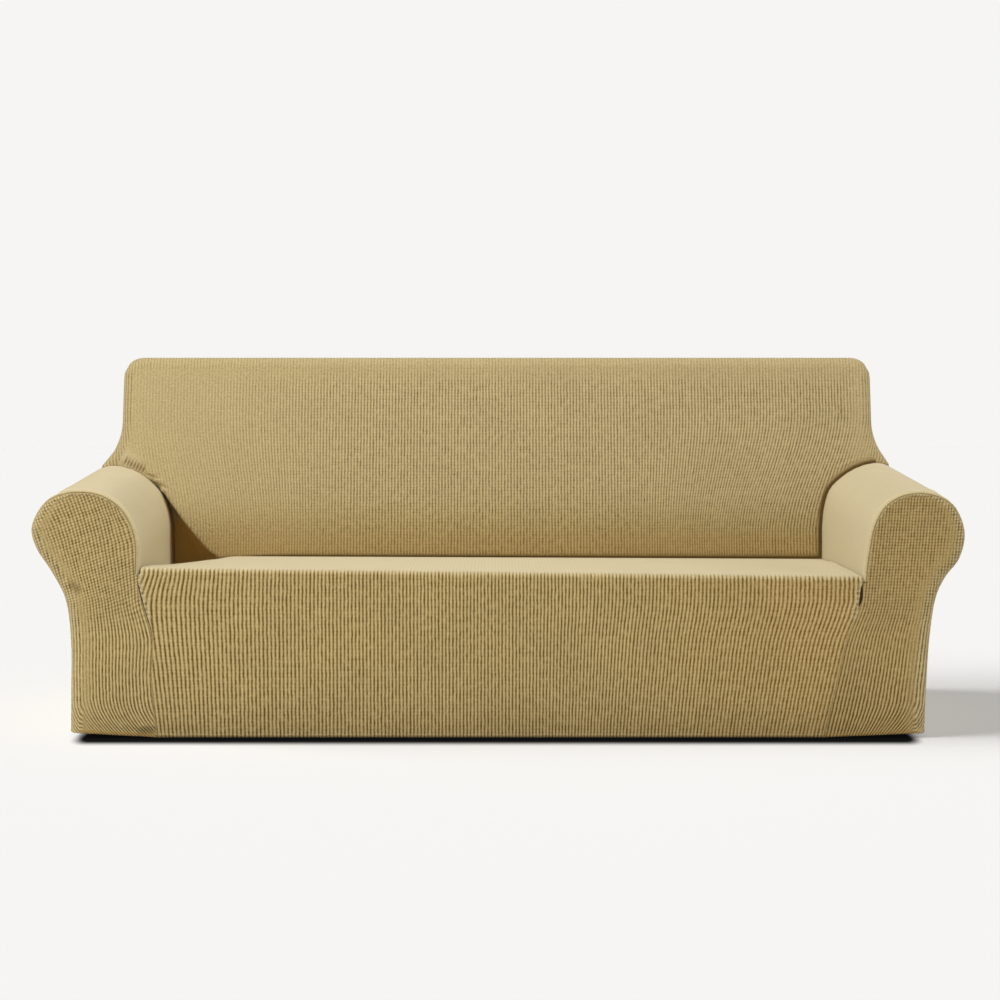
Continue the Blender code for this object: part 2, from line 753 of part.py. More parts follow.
def clear_scene():
    for item in list(bpy.data.objects):
        bpy.data.objects.remove(item, do_unlink=True)


def build():
    clear_scene()
    cover = bpy.data.collections.new("slipcover")
    bpy.context.scene.collection.children.link(cover)
    panels = [
        make_back_inside(knit_material("straw knit, inside back", BACK_STRAW)),
        make_back_outside(knit_material("straw knit, outside back", BACK_STRAW)),
        make_seat_front(knit_material("straw knit, seat and apron", FRONT_STRAW)),
    ]
    for side, arm in (("left", LEFT), ("right", RIGHT)):
        knit = knit_material("straw knit, %s arm" % side, ARM_STRAW)
        panels.append(make_arm("arm_" + side, arm, knit))
        knit = knit_material("straw knit, %s arm front" % side, FRONT_STRAW)
        panels.append(make_arm_front("arm_front_" + side, arm, knit))
    for panel in panels:
        cover.objects.link(panel)


build()
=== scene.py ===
"""The looks of a fitted stretch-knit sofa slipcover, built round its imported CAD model.

Metres, +Z up, X across the seat and Y from front to back, in the CAD model's own frame. Each panel
of cloth is drawn as a fine grid on the inner face of its CAD sheet, and lifted from there by its
thickness, its ribs and its folds. The ribs stand in the mesh; the material draws them again with
their finer rows of stitches, from the place of each point in the flat cloth.
"""

import math
from collections import namedtuple
from functools import partial

import bpy
import numpy as np
from bpy.props import FloatProperty, FloatVectorProperty, PointerProperty
from mathutils import Euler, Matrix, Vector


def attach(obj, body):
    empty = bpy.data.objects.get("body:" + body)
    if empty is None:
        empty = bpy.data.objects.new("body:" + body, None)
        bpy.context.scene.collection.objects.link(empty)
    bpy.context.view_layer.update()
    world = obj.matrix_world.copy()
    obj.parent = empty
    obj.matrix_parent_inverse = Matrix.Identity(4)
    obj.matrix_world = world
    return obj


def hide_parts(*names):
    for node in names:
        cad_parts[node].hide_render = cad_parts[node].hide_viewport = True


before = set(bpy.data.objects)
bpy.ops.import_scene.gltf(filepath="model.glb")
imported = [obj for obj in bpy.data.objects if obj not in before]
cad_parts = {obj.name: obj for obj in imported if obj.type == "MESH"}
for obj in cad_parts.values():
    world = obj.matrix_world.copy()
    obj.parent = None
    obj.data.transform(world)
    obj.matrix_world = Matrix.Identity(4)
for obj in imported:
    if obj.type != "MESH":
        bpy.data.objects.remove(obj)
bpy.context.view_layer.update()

bl_info = {
    "name": "Sofa slipcover",
    "version": (1, 0, 0),
    "blender": (4, 5, 0),
    "location": "3D View > Sidebar > Slipcover",
    "description": "Sews the panels of a fitted stretch-knit slipcover and sets its studio stage",
    "category": "Object",
}

# ---- Sizes that the panels share with the CAD model ----

CLOTH = 0.003  # the thickness of each CAD sheet
GAP = 0.0003  # between two panels that are sewn together
SEAM_LIFT = CLOTH + GAP
WELD = 0.00001  # points closer than this are one

DEPTH = 0.88
FRONT_Y = -DEPTH / 2
SEAT_HEIGHT = 0.392
SEAT_TILT, SEAT_TILT_LOST = 0.010, 0.6
SEAT_HALF_WIDTH = 0.855
SEAT_EDGE = 0.010
DECK_CLEAR = 0.0009
DECK_SHIFT = 0.007
HEM_HEIGHT = 0.002  # above the floor, and higher at the outer corners
HEM_CORNER_X, HEM_CORNER_REACH, HEM_CORNER_LIFT = 0.93, 0.08, 0.010

BACK_TOP = 0.910
BACK_HALF_WIDTH = 0.998
BACK_CORNER = 0.050
BACK_EDGE = 0.030
BACK_FOOT = 0.580
BACK_LEAN = 0.23
BACK_CROWN = 0.012
FLARE_OUT = 0.045
FLARE_FOOT = 0.625
FLARE_RISE = 0.115
SIDE_RISE = 0.038
CREASE = 0.006
TUCK_UNDER = 0.008

# The arm's outline changes evenly back to SECTION_DEPTH. Between these of its rows its rear end
# runs on from the inside back, round the back's side, to the outside back.
SECTION_DEPTH = 0.65
TURN_START, TURN_SIDE, TURN_END = 6, 6.5, 7
REAR_ROUND = 0.012
REAR_ROUND_ROWS = 1.5
REAR_REACH = 0.060

# The deep fold beside the left arm, and the sinking of the seat towards it.
RECESS_DEPTH = 0.095
RECESS_TOP = 4.6
RECESS_WALL = 0.012
RECESS_EDGE = ((0.730, 0.388), (0.764, 0.414), (0.832, 0.492))
RECESS_END = 0.738
RECESS_TURN = 0.015
RECESS_SHARES = (0.28, 0.18, 0.09)
SINK = 0.036
SINK_X, SINK_REACH, SINK_POWER = 0.68, 0.18, 1.4
REAR_SINK, REAR_SINK_FROM = 0.009, 0.30

# How far off the arms the inside back's foot stands, where it ends, turns and meets the face.
STRIP_LIFTS = (SEAM_LIFT + 0.0004, 0.009, 0.022)
FOOT_RISE = 0.003
FACE_RISE = 0.007
FACE_RISE_PER_ROW = 0.010
FOLD_UP, FOLD_OUT = 0.6, 0.8
SEAT_MARGIN = 0.012

ArmRow = namedtuple("ArmRow", "front_x front_z rear_x rear_z front_round seam_deg")
Arm = namedtuple("Arm", "name side rows recess slit low_row")
SeamRow = namedtuple("SeamRow", "z left_x right_x")

# One row for each turn of the arm's outline, from the seat up, over the roll and down to the hem.
RIGHT_ROWS = (
    ArmRow(0.866, 0.372, 0.858, 0.376, 0.010, 18),
    ArmRow(0.869, 0.410, 0.859, 0.430, 0.010, 18),
    ArmRow(0.875, 0.450, 0.861, 0.478, 0.010, 18),
    ArmRow(0.886, 0.505, 0.870, 0.530, 0.011, 20),
    ArmRow(0.912, 0.551, 0.890, 0.572, 0.012, 22),
    ArmRow(0.952, 0.577, 0.945, 0.613, 0.012, 24),
    ArmRow(1.000, 0.583, 1.005, 0.630, 0.012, 28),
    ArmRow(1.045, 0.572, 1.048, 0.617, 0.014, 40),
    ArmRow(1.081, 0.543, 1.082, 0.588, 0.018, 62),
    ArmRow(1.103, 0.485, 1.103, 0.533, 0.022, 78),
    ArmRow(1.092, 0.426, 1.094, 0.465, 0.024, 80),
    ArmRow(1.058, 0.380, 1.062, 0.402, 0.026, 80),
    ArmRow(1.036, 0.325, 1.034, 0.335, 0.030, 80),
    ArmRow(1.023, 0.225, 1.020, 0.225, 0.032, 80),
    ArmRow(1.017, 0.110, 1.015, 0.110, 0.032, 80),
    ArmRow(1.013, 0.010, 1.012, 0.004, 0.030, 80),
)
LEFT_ROWS = (
    ArmRow(0.846, 0.388, 0.866, 0.352, 0.010, 18),
    ArmRow(0.845, 0.425, 0.867, 0.425, 0.010, 18),
    ArmRow(0.846, 0.460, 0.868, 0.478, 0.010, 18),
    ArmRow(0.856, 0.503, 0.878, 0.523, 0.011, 20),
    ArmRow(0.881, 0.546, 0.899, 0.562, 0.012, 22),
    ArmRow(0.921, 0.575, 0.948, 0.603, 0.012, 24),
    ArmRow(0.968, 0.586, 1.005, 0.622, 0.012, 28),
    ArmRow(1.020, 0.581, 1.048, 0.617, 0.014, 40),
    ArmRow(1.066, 0.555, 1.080, 0.593, 0.018, 62),
    ArmRow(1.097, 0.498, 1.102, 0.538, 0.022, 78),
    ArmRow(1.086, 0.448, 1.094, 0.470, 0.024, 80),
    ArmRow(1.052, 0.395, 1.062, 0.405, 0.026, 80),
    ArmRow(1.019, 0.325, 1.028, 0.335, 0.030, 80),
    ArmRow(1.008, 0.225, 1.014, 0.225, 0.032, 80),
    ArmRow(1.009, 0.110, 1.013, 0.110, 0.032, 80),
    ArmRow(1.010, 0.012, 1.012, 0.004, 0.030, 80),
)
LEFT = Arm("left", -1, LEFT_ROWS, RECESS_DEPTH, 0.0004, -0.60)
RIGHT = Arm("right", 1, RIGHT_ROWS, 0.0, 0.0050, -0.15)
LAST_ROW = len(RIGHT_ROWS) - 1
CROWN_INNER, CROWN_OUTER = 4, 8

# Where the apron is sewn to the arm fronts, from the hem to the notch under the seat's edge.
APRON_SEAM = (
    SeamRow(HEM_HEIGHT, 0.805, 0.774),
    SeamRow(0.070, 0.812, 0.790),
    SeamRow(0.150, 0.817, 0.808),
    SeamRow(0.235, 0.814, 0.827),
    SeamRow(0.318, 0.836, 0.856),
    SeamRow(0.365, 0.848, 0.861),
)

# ---- Sizes of the finer work ----

RIB_STEPS = 3  # columns of mesh to each rib
SHELL = 0.0016
SEAM_ROLL = 0.0026
SEAM_RIDGE, SEAM_RIDGE_SPREAD = 0.0010, 0.6
SEAM_DIP = 0.45
SEAM_RIB_FROM, SEAM_RIB_FADE, WIDE_RIB_FADE = 0.35, 0.004, 0.020
HEM_BAND = 0.009
HEM_FADE = 0.002
HEM_THICK = 0.0005
HEM_RIB = 0.75
HEM_RISES = (0.0, 0.0065, 0.0085, 0.0105)  # rows of mesh that hold the edge of the turned hem
GROOVE_POWER = 1.5
GATHER_ROUNDS, LINE_ROUNDS = 14, 12
NORMAL_STEP = 0.05
FOLD_FADE = 0.25  # the share of its length over which a fold runs out at each end
TROUGH = 0.004  # a trough as deep as this is shaded in full
FAR = 1.0  # from any seam
MIRROR = np.array([-1, 1])

# ---- Small sums ----


def mix(low, high, share):
    return low + (high - low) * share


def smooth(share):
    share = np.clip(share, 0.0, 1.0)
    return share * share * (3 - 2 * share)


def spline(values, at):
    """A smooth curve through evenly numbered values, read at fractional numbers."""
    values = np.asarray(values, float)
    at = np.asarray(at, float)
    first = np.clip(at.astype(int), 0, len(values) - 2)
    share = at - first
    ends = 2 * values[:1] - values[1:2], 2 * values[-1:] - values[-2:-1]
    padded = np.concatenate([ends[0], values, ends[1]])
    p0, p1, p2, p3 = (padded[first + step] for step in range(4))
    share = share.reshape(share.shape + (1,) * (values.ndim - 1))
    bend = 2 * p0 - 5 * p1 + 4 * p2 - p3
    twist = 3 * (p1 - p2) + p3 - p0
    return 0.5 * (2 * p1 + share * (p2 - p0 + share * (bend + share * twist)))


def pair(x, z):
    x, z = np.broadcast_arrays(x, z)
    return np.stack([x, z], axis=-1).astype(float)


def place(x, depth, z):
    """Points at x and z, this far behind the arm fronts."""
    x, y, z = np.broadcast_arrays(x, FRONT_Y + np.asarray(depth, float), z)
    return np.stack([x, y, z], axis=-1).astype(float)


def column_value(arm, name, at):
    return spline([getattr(row, name) for row in arm.rows], at)


def of_side(arm, values):
    """The left arm's or the right arm's own one of two values."""
    return values[0] if arm.side < 0 else values[1]


def arm_section(arm, at, depth):
    """The arm's outline at one depth, as (x, z), on the +X side."""
    share = np.minimum(1.0, depth / SECTION_DEPTH)
    x = mix(column_value(arm, "front_x", at), column_value(arm, "rear_x", at), share)
    z = mix(column_value(arm, "front_z", at), column_value(arm, "rear_z", at), share)
    return pair(x, z)


def arm_normal(arm, at, depth):
    """The way out of the arm at right angles to its outline, as (x, z)."""
    low = arm_section(arm, np.maximum(0.0, at - NORMAL_STEP), depth)
    high = arm_section(arm, np.minimum(LAST_ROW, at + NORMAL_STEP), depth)
    along = high - low
    along /= np.linalg.norm(along, axis=-1, keepdims=True)
    return np.stack([-along[..., 1], along[..., 0]], axis=-1)


def lifted(arm, at, depth, lift):
    """A point of the arm's outline at one depth, moved straight out of the arm."""
    lift = np.asarray(lift, float)[..., None]
    return arm_section(arm, at, depth) + arm_normal(arm, at, depth) * lift


def face_depth(x, z):
    """How far back the inside back's face stands."""
    rise = np.maximum(0.0, z - SEAT_HEIGHT)
    crown = np.sin(math.pi * np.minimum(1.0, rise / (BACK_TOP - SEAT_HEIGHT)))
    return BACK_FOOT + BACK_LEAN * rise - BACK_CROWN * np.maximum(0.0, 1 - x * x) * crown


def recess_share(at):
    """1 at the foot of the fold beside the arm, 0 at its top."""
    return np.where(at < RECESS_TOP, 1 - (at / RECESS_TOP) ** 2, 0.0)


def arm_end(arm, at):
    """The depth where the arm's cloth ends, at the inside back or at the outside back."""
    at = np.asarray(at, float)
    flat = arm_section(arm, at, SECTION_DEPTH)
    crease = face_depth(flat[..., 0], flat[..., 1]) + CREASE + arm.recess * recess_share(at)
    side = crease + BACK_EDGE
    turning = mix(crease, side, (at - TURN_START) / (TURN_SIDE - TURN_START))
    along = np.minimum(1.0, (at - TURN_SIDE) / (TURN_END - TURN_SIDE))
    turned = np.where(at <= TURN_SIDE, turning, mix(side, DEPTH - GAP, along))
    return np.where(at <= TURN_START, crease, turned)


def turn_place(arm, depth):
    """Where the arm's end passes a depth as it turns back along the back's side."""
    start, side = arm_end(arm, TURN_START), arm_end(arm, TURN_SIDE)
    near = mix(TURN_START, TURN_SIDE, np.maximum(0.0, depth - start) / (side - start))
    share = np.clip((depth - side) / (DEPTH - GAP - side), 0, 1)
    return np.where(depth <= side, near, mix(TURN_SIDE, TURN_END, share))


def deck_height(x, depth):
    """The seat's height: tilted along its front edge and sunk beside the left arm."""
    tilt = -SEAT_TILT * x / SEAT_HALF_WIDTH * (1 - SEAT_TILT_LOST * smooth(depth / BACK_FOOT))
    back = np.clip(depth / BACK_FOOT, 0, 1)
    beside_left = smooth((-x - SINK_X) / SINK_REACH) * back ** SINK_POWER
    rear = smooth((depth - REAR_SINK_FROM) / (BACK_FOOT - REAR_SINK_FROM))
    return SEAT_HEIGHT + tilt - SINK * beside_left - REAR_SINK * rear


def hem_height(x):
    corner = smooth((np.abs(x) - HEM_CORNER_X) / HEM_CORNER_REACH)
    return HEM_HEIGHT + HEM_CORNER_LIFT * corner


def seam_x(arm, z):
    """The apron's side seam: a smooth curve through its named rows, on the +X side."""
    heights = [row.z for row in APRON_SEAM]
    widths = [of_side(arm, (row.left_x, row.right_x)) for row in APRON_SEAM]
    at = np.interp(z, heights, range(len(heights)))
    return spline(widths, at)


# ---- The knit in the flat cloth ----


def rib_depth_at(across, pitch):
    """How deep the knit lies at a place across the ribs, from 0 on a rib to 1 in a groove."""
    return (0.5 - 0.5 * np.cos(2 * math.pi * across / pitch)) ** GROOVE_POWER


def spread_ribs(flat, stretch, half_width):
    """Where ribs come to lie when the cloth is stretched more towards its sides."""
    return flat * (1 + stretch * (flat / half_width) ** 2)


def gathered(at, move):
    """The rib that a lean has brought to a place: at = rib + move(rib), found step by step."""
    rib = np.array(at, float)
    for _ in range(GATHER_ROUNDS):
        rib = at - move(rib)
    return rib


Fold = namedtuple("Fold", "start end width height")


def beside_line(x, z, start, end):
    """How far along a line, as a share of it, and how far from it a point lies."""
    run = np.array(end) - np.array(start)
    length = math.hypot(*run)
    along = ((x - start[0]) * run[0] + (z - start[1]) * run[1]) / length ** 2
    away = ((x - start[0]) * run[1] - (z - start[1]) * run[0]) / length
    return along, away


def fold_lift(x, z, folds):
    """Soft ridges, or troughs where the height is below 0, that run out at both ends."""
    total = 0.0
    for fold in folds:
        along, away = beside_line(x, z, fold.start, fold.end)
        begun = smooth((along + FOLD_FADE) / (2 * FOLD_FADE))
        left = smooth((1 + FOLD_FADE - along) / (2 * FOLD_FADE))
        total = total + fold.height * (begun * left) * np.exp(-(away / fold.width) ** 2)
    return total


def trough_share(folds):
    """1 at the bottom of a trough, 0 on flat cloth and on ridges."""
    return np.clip(-folds / TROUGH, 0, 1)


# ---- Sewing a mesh ----

Grid = namedtuple("Grid", "points across along rib row tone shade lift carve")
CLOTH_FIELDS = {"cloth": ("across", "along", "shade"), "knit": ("rib", "row", "tone")}


def grid(points, across, along, rib=0.0, row=0.0, tone=0.0, shade=0.0, lift=0.0, carve=1.0):
    """A grid of points on a sheet's inner face, with the cloth's own values at each of them.

    across and along are its place in the flat cloth, rib and row how strong the ribs and the rows
    of stitches are, tone how far the yarn is stretched pale, partly as painted sheen, and below 0
    how far it takes painted shade in warm brown, and shade how dark the painted shade is in
    creases, troughs and puckers. carve is 0 where the mesh is too coarse to hold the ribs.
    """
    shape = points.shape[:2]
    values = [np.broadcast_to(np.asarray(value, float), shape) for value in
              (across, along, rib, row, tone, shade, lift, carve)]
    return Grid(points, *values)


def weld_faces(grids):
    """All the grids' points once each, and their faces, with collapsed ones left out."""
    points = np.concatenate([one.points.reshape(-1, 3) for one in grids])
    keys = np.round(points / WELD).astype(np.int64)
    _, first, names = np.unique(keys, axis=0, return_index=True, return_inverse=True)
    names = names.reshape(-1)
    faces, start = [], 0
    for one in grids:
        rows, columns = one.points.shape[:2]
        index = names[start:start + rows * columns].reshape(rows, columns)
        quads = np.stack([index[:-1, :-1], index[:-1, 1:], index[1:, 1:], index[1:, :-1]], -1)
        quads = quads.reshape(-1, 4)
        whole = (quads != np.roll(quads, 1, axis=1)).all(axis=1)
        faces += quads[whole].tolist()
        for quad in quads[~whole].tolist():
            kept = [point for step, point in enumerate(quad) if point != quad[step - 1]]
            if len(set(kept)) == len(kept) > 2:
                faces.append(kept)
        start += rows * columns
    return points[first], first, faces


def sew_panel(name, grids, material, flip, sizes):
    """A closed sheet of knit cloth from the grids that make one panel."""
    points, first, faces = weld_faces(grids)
    values = {}
    for field in Grid._fields[1:]:
        values[field] = np.concatenate([getattr(one, field).reshape(-1) for one in grids])[first]
    if flip:
        faces = [face[::-1] for face in faces]
    mesh = bpy.data.meshes.new(name)
    mesh.from_pydata(points.tolist(), [], faces)
    mesh.update()
    normals = np.zeros(len(points) * 3)
    mesh.vertices.foreach_get("normal", normals)
    sunk = values["rib"] * values["carve"] * rib_depth_at(values["across"], sizes.rib_pitch)
    height = values["lift"] - sunk * sizes.rib_depth
    points = points + normals.reshape(-1, 3) * height[:, None]
    mesh.vertices.foreach_set("co", points.reshape(-1))
    for field, columns in CLOTH_FIELDS.items():
        stack = [values[column] for column in columns]
        attribute = mesh.attributes.new(field, "FLOAT_VECTOR", "POINT")
        attribute.data.foreach_set("vector", np.stack(stack, -1).astype(np.float32).reshape(-1))
    mesh.update()
    mesh.shade_smooth()
    mesh.materials.append(material)
    panel = bpy.data.objects.new(name, mesh)
    bpy.context.scene.collection.objects.link(panel)
    shell = panel.modifiers.new("cloth thickness", "SOLIDIFY")
    shell.thickness = SHELL
    shell.offset = -1
    return panel


def seam_lift(distance):
    """The outer face's height over the inner one: rolled up beside a seam, and dipping into it."""
    roll = SEAM_RIDGE * np.exp(-((distance / SEAM_ROLL - 1) / SEAM_RIDGE_SPREAD) ** 2)
    return CLOTH * mix(SEAM_DIP, 1.0, smooth(distance / SEAM_ROLL)) + roll


def seam_rib(distance, fade=SEAM_RIB_FADE):
    """How strong the ribs are beside a seam, where they are pulled flat."""
    return mix(SEAM_RIB_FROM, 1.0, smooth(distance / fade))


def hem_share(rise):
    """1 on the turned hem and 0 above it."""
    return smooth((HEM_BAND - rise) / HEM_FADE)


def hemmed_rib(rib, hem):
    """The ribs' strength, less where the hem is turned up."""
    return rib * mix(1.0, HEM_RIB, hem)


def hemmed_lift(distance, hem):
    """The outer face's height beside a seam, more where the hem is turned up."""
    return seam_lift(distance) + HEM_THICK * hem


def arc_length(points):
    """The length along lines of points, from the first of each."""
    steps = np.linalg.norm(np.diff(points, axis=0), axis=-1)
    return np.concatenate([np.zeros_like(steps[:1]), np.cumsum(steps, axis=0)])


# ---- Arms ----

ARM_TURN_STEPS = 8
ARM_RUN_START = 0.008
ARM_ROWS = 84
HEM_PLACES = (14.86, 14.885, 14.9, 15.0)  # the arm's own rows at the turned hem
REAR_EDGE_STEPS = (0.0016, 0.0004)  # rows of mesh close to the rear end
ARM_RIB_INSIDE, ARM_RIB_OUTSIDE = 0.10, 0.5
ARM_RIB_FROM, ARM_RIB_ROWS = 7.5, 2.5
ARM_STITCHES = 0.3
ARM_TONE_OUTSIDE = 0.25
EDGE_TONE, EDGE_TONE_REACH = 0.3, 0.012
# Where the left arm's cloth takes painted shade in warm brown, deep in the fold beside it.
ARM_SHADE_FROM, ARM_SHADE_REACH = 0.587, 0.006
ARM_SHADE_TOP, ARM_SHADE_FADE = 3.9, 0.8
# Soft hollows and swellings where the arms' cloth is pulled towards the scroll seams: each as its
# depth and its way up the arm's outline.
ARM_FOLDS = (
    Fold((0.020, 0.285), (0.150, 0.350), 0.014, -0.0016),
    Fold((0.030, 0.335), (0.170, 0.390), 0.016, 0.0018),
    Fold((0.020, 0.390), (0.130, 0.430), 0.012, -0.0014),
    Fold((0.012, 0.130), (0.050, 0.230), 0.008, 0.0012),
    Fold((0.420, 0.330), (0.560, 0.300), 0.022, -0.0020),
)


def rear_rounding(at):
    return smooth((at - TURN_END) / REAR_ROUND_ROWS)


def rear_inset(arm, at, depth):
    """How far the arm's cloth has turned in towards the outside back."""
    reach = mix(REAR_REACH, REAR_ROUND, rear_rounding(at))
    sine = np.clip(1 - (arm_end(arm, at) - depth) / reach, 0, 1)
    return REAR_ROUND * rear_rounding(at) * (1 - np.sqrt(1 - sine * sine))


def front_edge(arm, at, degrees):
    """The arm's rounded front edge, from 0 on the front to 90 on the arm's side: (x, z), depth."""
    turn = column_value(arm, "front_round", at)
    angle = np.radians(degrees)
    flat = lifted(arm, at, turn, -turn * (1 - np.sin(angle)))
    return flat, turn * (1 - np.cos(angle))


def seam_clear(arm, at):
    return np.degrees(GAP / 2 / column_value(arm, "front_round", at))


def make_arm(arm, material, sizes):
    at = np.linspace(arm.low_row, HEM_PLACES[0], ARM_ROWS)
    at = np.concatenate([at, HEM_PLACES[1:]])[:, None]

    # Round the front edge, from the scroll's seam.
    turn = column_value(arm, "front_round", at)
    start = column_value(arm, "seam_deg", at) + seam_clear(arm, at)
    shares = np.linspace(0, 1, ARM_TURN_STEPS + 1)[None, :]
    degrees = mix(start, 90, shares)
    flat, depth = front_edge(arm, at, degrees)
    turned = place(arm.side * flat[..., 0], depth, flat[..., 1])
    turned_across = turn - turn * np.radians(90 - degrees)
    turned_seam = (turn + CLOTH) * np.radians(degrees - start)

    # Back along the arm, and round a little towards the outside back.
    step = sizes.rib_pitch / RIB_STEPS
    depths = np.arange(ARM_RUN_START, DEPTH - GAP, step)
    depths = np.concatenate([depths, [DEPTH - GAP - edge for edge in REAR_EDGE_STEPS]])
    depths = np.concatenate([np.sort(depths), [DEPTH - GAP]])[None, :]
    end = arm_end(arm, at)
    depths = np.clip(depths, turn, end)
    inset = rear_inset(arm, at, depths)
    flat = lifted(arm, at, depths, -inset)
    run = place(arm.side * flat[..., 0], depths, flat[..., 1])
    run_seam = np.minimum(depths - turn + turned_seam[:, -1:], end - depths + inset)

    points = np.concatenate([turned, run[:, 1:]], axis=1)
    across = np.concatenate([turned_across, np.broadcast_to(depths, run.shape[:2])[:, 1:]], axis=1)
    seam = np.concatenate([turned_seam, run_seam[:, 1:]], axis=1)
    along = arc_length(arm_section(arm, at[:, 0], SECTION_DEPTH / 2))[:, None]
    hem = hem_share(points[..., 2] - points[-1:, :, 2]) * (at > TURN_END)
    outside = smooth((at - ARM_RIB_FROM) / ARM_RIB_ROWS)
    rib = mix(ARM_RIB_INSIDE, ARM_RIB_OUTSIDE, outside) * smooth(seam / WIDE_RIB_FADE)
    rib = hemmed_rib(rib, hem)
    depth = points[..., 1] - FRONT_Y
    lift = hemmed_lift(seam, hem) + fold_lift(depth, along, ARM_FOLDS)
    tone = mix(1.0, ARM_TONE_OUTSIDE, outside)
    tone = tone * mix(EDGE_TONE, 1.0, smooth(seam / EDGE_TONE_REACH))

    # Painted shade: deep in the fold beside the left arm the cloth takes the warm brown of the fold
    # colour.
    deep = smooth((depth - ARM_SHADE_FROM) / ARM_SHADE_REACH) * (arm.recess > 0)
    deep = deep * smooth((ARM_SHADE_TOP - at) / ARM_SHADE_FADE)
    tone = mix(tone, -1.0, deep)
    cloth = grid(points, across, along, rib, ARM_STITCHES * outside, tone, 0.0, lift)
    return sew_panel("arm_%s_cloth" % arm.name, [cloth], material, arm.side > 0, sizes)


# ---- Arm fronts ----

FRONT_ROWS = 156
BAND_STEPS = 5
FRONT_FIRST, FRONT_LAST = 0.66, 1.20
CROWN_FROM = 0.6
OUTLINE_STEPS = 160
FRONT_PITCH = 0.0072  # the ribs of the arm fronts lie closer than those of the apron
FRONT_RIB_STEPS = 3
NOTCH_LOW, NOTCH_WIDE, NOTCH_TOP, NOTCH_LEAST = 0.304, 0.330, 0.380, 0.35
ALLOWANCE = ((0.0008, 0.004), (0.009, 0.007))  # turned in behind the apron: inwards, and depth
SEAM_OVERRUN = 0.004

# How the ribs lean above and below the arm's waist, and along the wall beside the seat. From here
# on, two values in brackets are the left arm's and the right arm's.
WAIST, LEAN_TOP, LEAN_WIDTH, LEAN_LOST = 0.32, 0.60, 0.18, 0.6
SCROLL_TILT = (0.34, 0.10)
SWEEP, SWEEP_HEIGHT = (0.050, 0.045), 0.090
WALL_LEAN = ((0.46, 0.0), (0.50, 0.010), (0.545, 0.036), (0.60, 0.075))  # height, and move
WALL_REACH = 0.10

# How strong the ribs and the rows of stitches are, and where painted shade darkens the cloth.
ROWS_FROM, ROWS_FADE = 0.235, 0.11
ROW_LEAST, ROW_STRENGTH = 0.12, 0.85
ROW_SHARE = (1.0, 0.80)
ROW_TILT, ROW_TILT_AT = (0.36, 0.0), 0.95
BASE_RIB, MIDDLE_RIB = (1.0, 1.25), 0.92
BASE_TOP, BASE_FADE = 0.06, 0.20
SIDE_RIB, SIDE_FROM, SIDE_FADE = 0.45, 0.006, 0.022
BAND_RIB, BAND_TONE = (0.45, 0.75), 0.15
# Painted shade in the fold troughs, and the golden brown tint of the turned hem.
HOLLOW_SHADE, HEM_BROWN = 0.30, 0.40
# Painted shade over the right arm front, darker and warm brown, where the light falls off to the
# right.
FRONT_SHADE, FRONT_WARM_SHADE = (0.0, 0.10), (0.02, 0.14)

# The hollow at the left arm's waist with the swelling under it, the tuck at the foot of the left
# seam, and the pull that runs down from the seat's right corner.
FRONT_FOLDS = (
    Fold((-1.022, 0.368), (-0.985, 0.346), 0.0100, -0.0085),
    Fold((-1.012, 0.345), (-0.990, 0.290), 0.0120, 0.0030),
    Fold((-0.848, 0.030), (-0.812, 0.030), 0.0045, 0.0022),
    Fold((-0.848, 0.010), (-0.812, 0.012), 0.0110, -0.0034),
    Fold((0.866, 0.480), (0.863, 0.400), 0.0022, 0.0016),
    Fold((0.872, 0.480), (0.869, 0.390), 0.0022, -0.0016),
    Fold((0.868, 0.300), (0.905, 0.270), 0.0060, 0.0020),
)


def notch(arm, z):
    """Half the width of the small gap left open under the seat's front corner."""
    rising = smooth((z - NOTCH_LOW) / (NOTCH_WIDE - NOTCH_LOW))
    closing = smooth((NOTCH_TOP - z) / (NOTCH_TOP - NOTCH_WIDE))
    return arm.slit * rising * mix(NOTCH_LEAST, 1.0, closing)


def front_outline(arm):
    """The flat front's sides and crown: dense lines of (x, z) with the arm's row at each point."""
    wall_at = np.linspace(arm.low_row, CROWN_INNER, OUTLINE_STEPS)
    wall = front_edge(arm, wall_at, 0)[0]
    seam_z = np.linspace(HEM_HEIGHT, APRON_SEAM[-1].z, OUTLINE_STEPS)
    seam = pair(seam_x(arm, seam_z) + notch(arm, seam_z) + GAP / 2, seam_z)
    inner = np.concatenate([seam, wall])
    outer_at = np.linspace(LAST_ROW, CROWN_OUTER, OUTLINE_STEPS)
    crown_at = np.linspace(CROWN_INNER, CROWN_OUTER, OUTLINE_STEPS)
    outer = front_edge(arm, outer_at, 0)[0]
    crown = front_edge(arm, crown_at, 0)[0]
    return inner, wall_at, outer, outer_at, crown, crown_at


def front_lean(arm, x, z):
    """How far a rib of the arm front lies from its place at the waist, on the +X side."""
    inner_at_waist = seam_x(arm, WAIST)
    seam_move = seam_x(arm, np.minimum(z, WAIST)) - inner_at_waist
    scroll = of_side(arm, SCROLL_TILT) * (np.clip(z, WAIST, LEAN_TOP) - WAIST)
    sweep = of_side(arm, SWEEP) * np.clip((SWEEP_HEIGHT - z) / SWEEP_HEIGHT, 0, 1) ** 2
    if arm.side > 0:
        part = np.clip((x - inner_at_waist) / LEAN_WIDTH, 0, 1)
        return seam_move * (1 - LEAN_LOST * part) + scroll - sweep * smooth(part)
    beside = np.exp(-np.maximum(0.0, x - inner_at_waist) / WALL_REACH)
    wall = np.interp(z, *zip(*WALL_LEAN))
    return seam_move * beside + mix(scroll, wall, beside) - sweep


def front_rows(z):
    """How strong the rows of stitches are: a lattice on the scroll, plain ribs further down."""
    return ROW_LEAST + ROW_STRENGTH * smooth((z - ROWS_FROM) / ROWS_FADE)


def front_row(arm, x, z):
    """The place along the knit: its rows climb towards the seat on the left arm."""
    climb = of_side(arm, ROW_TILT) * (x - ROW_TILT_AT)
    return z + climb * smooth((z - ROWS_FROM) / ROWS_FADE)


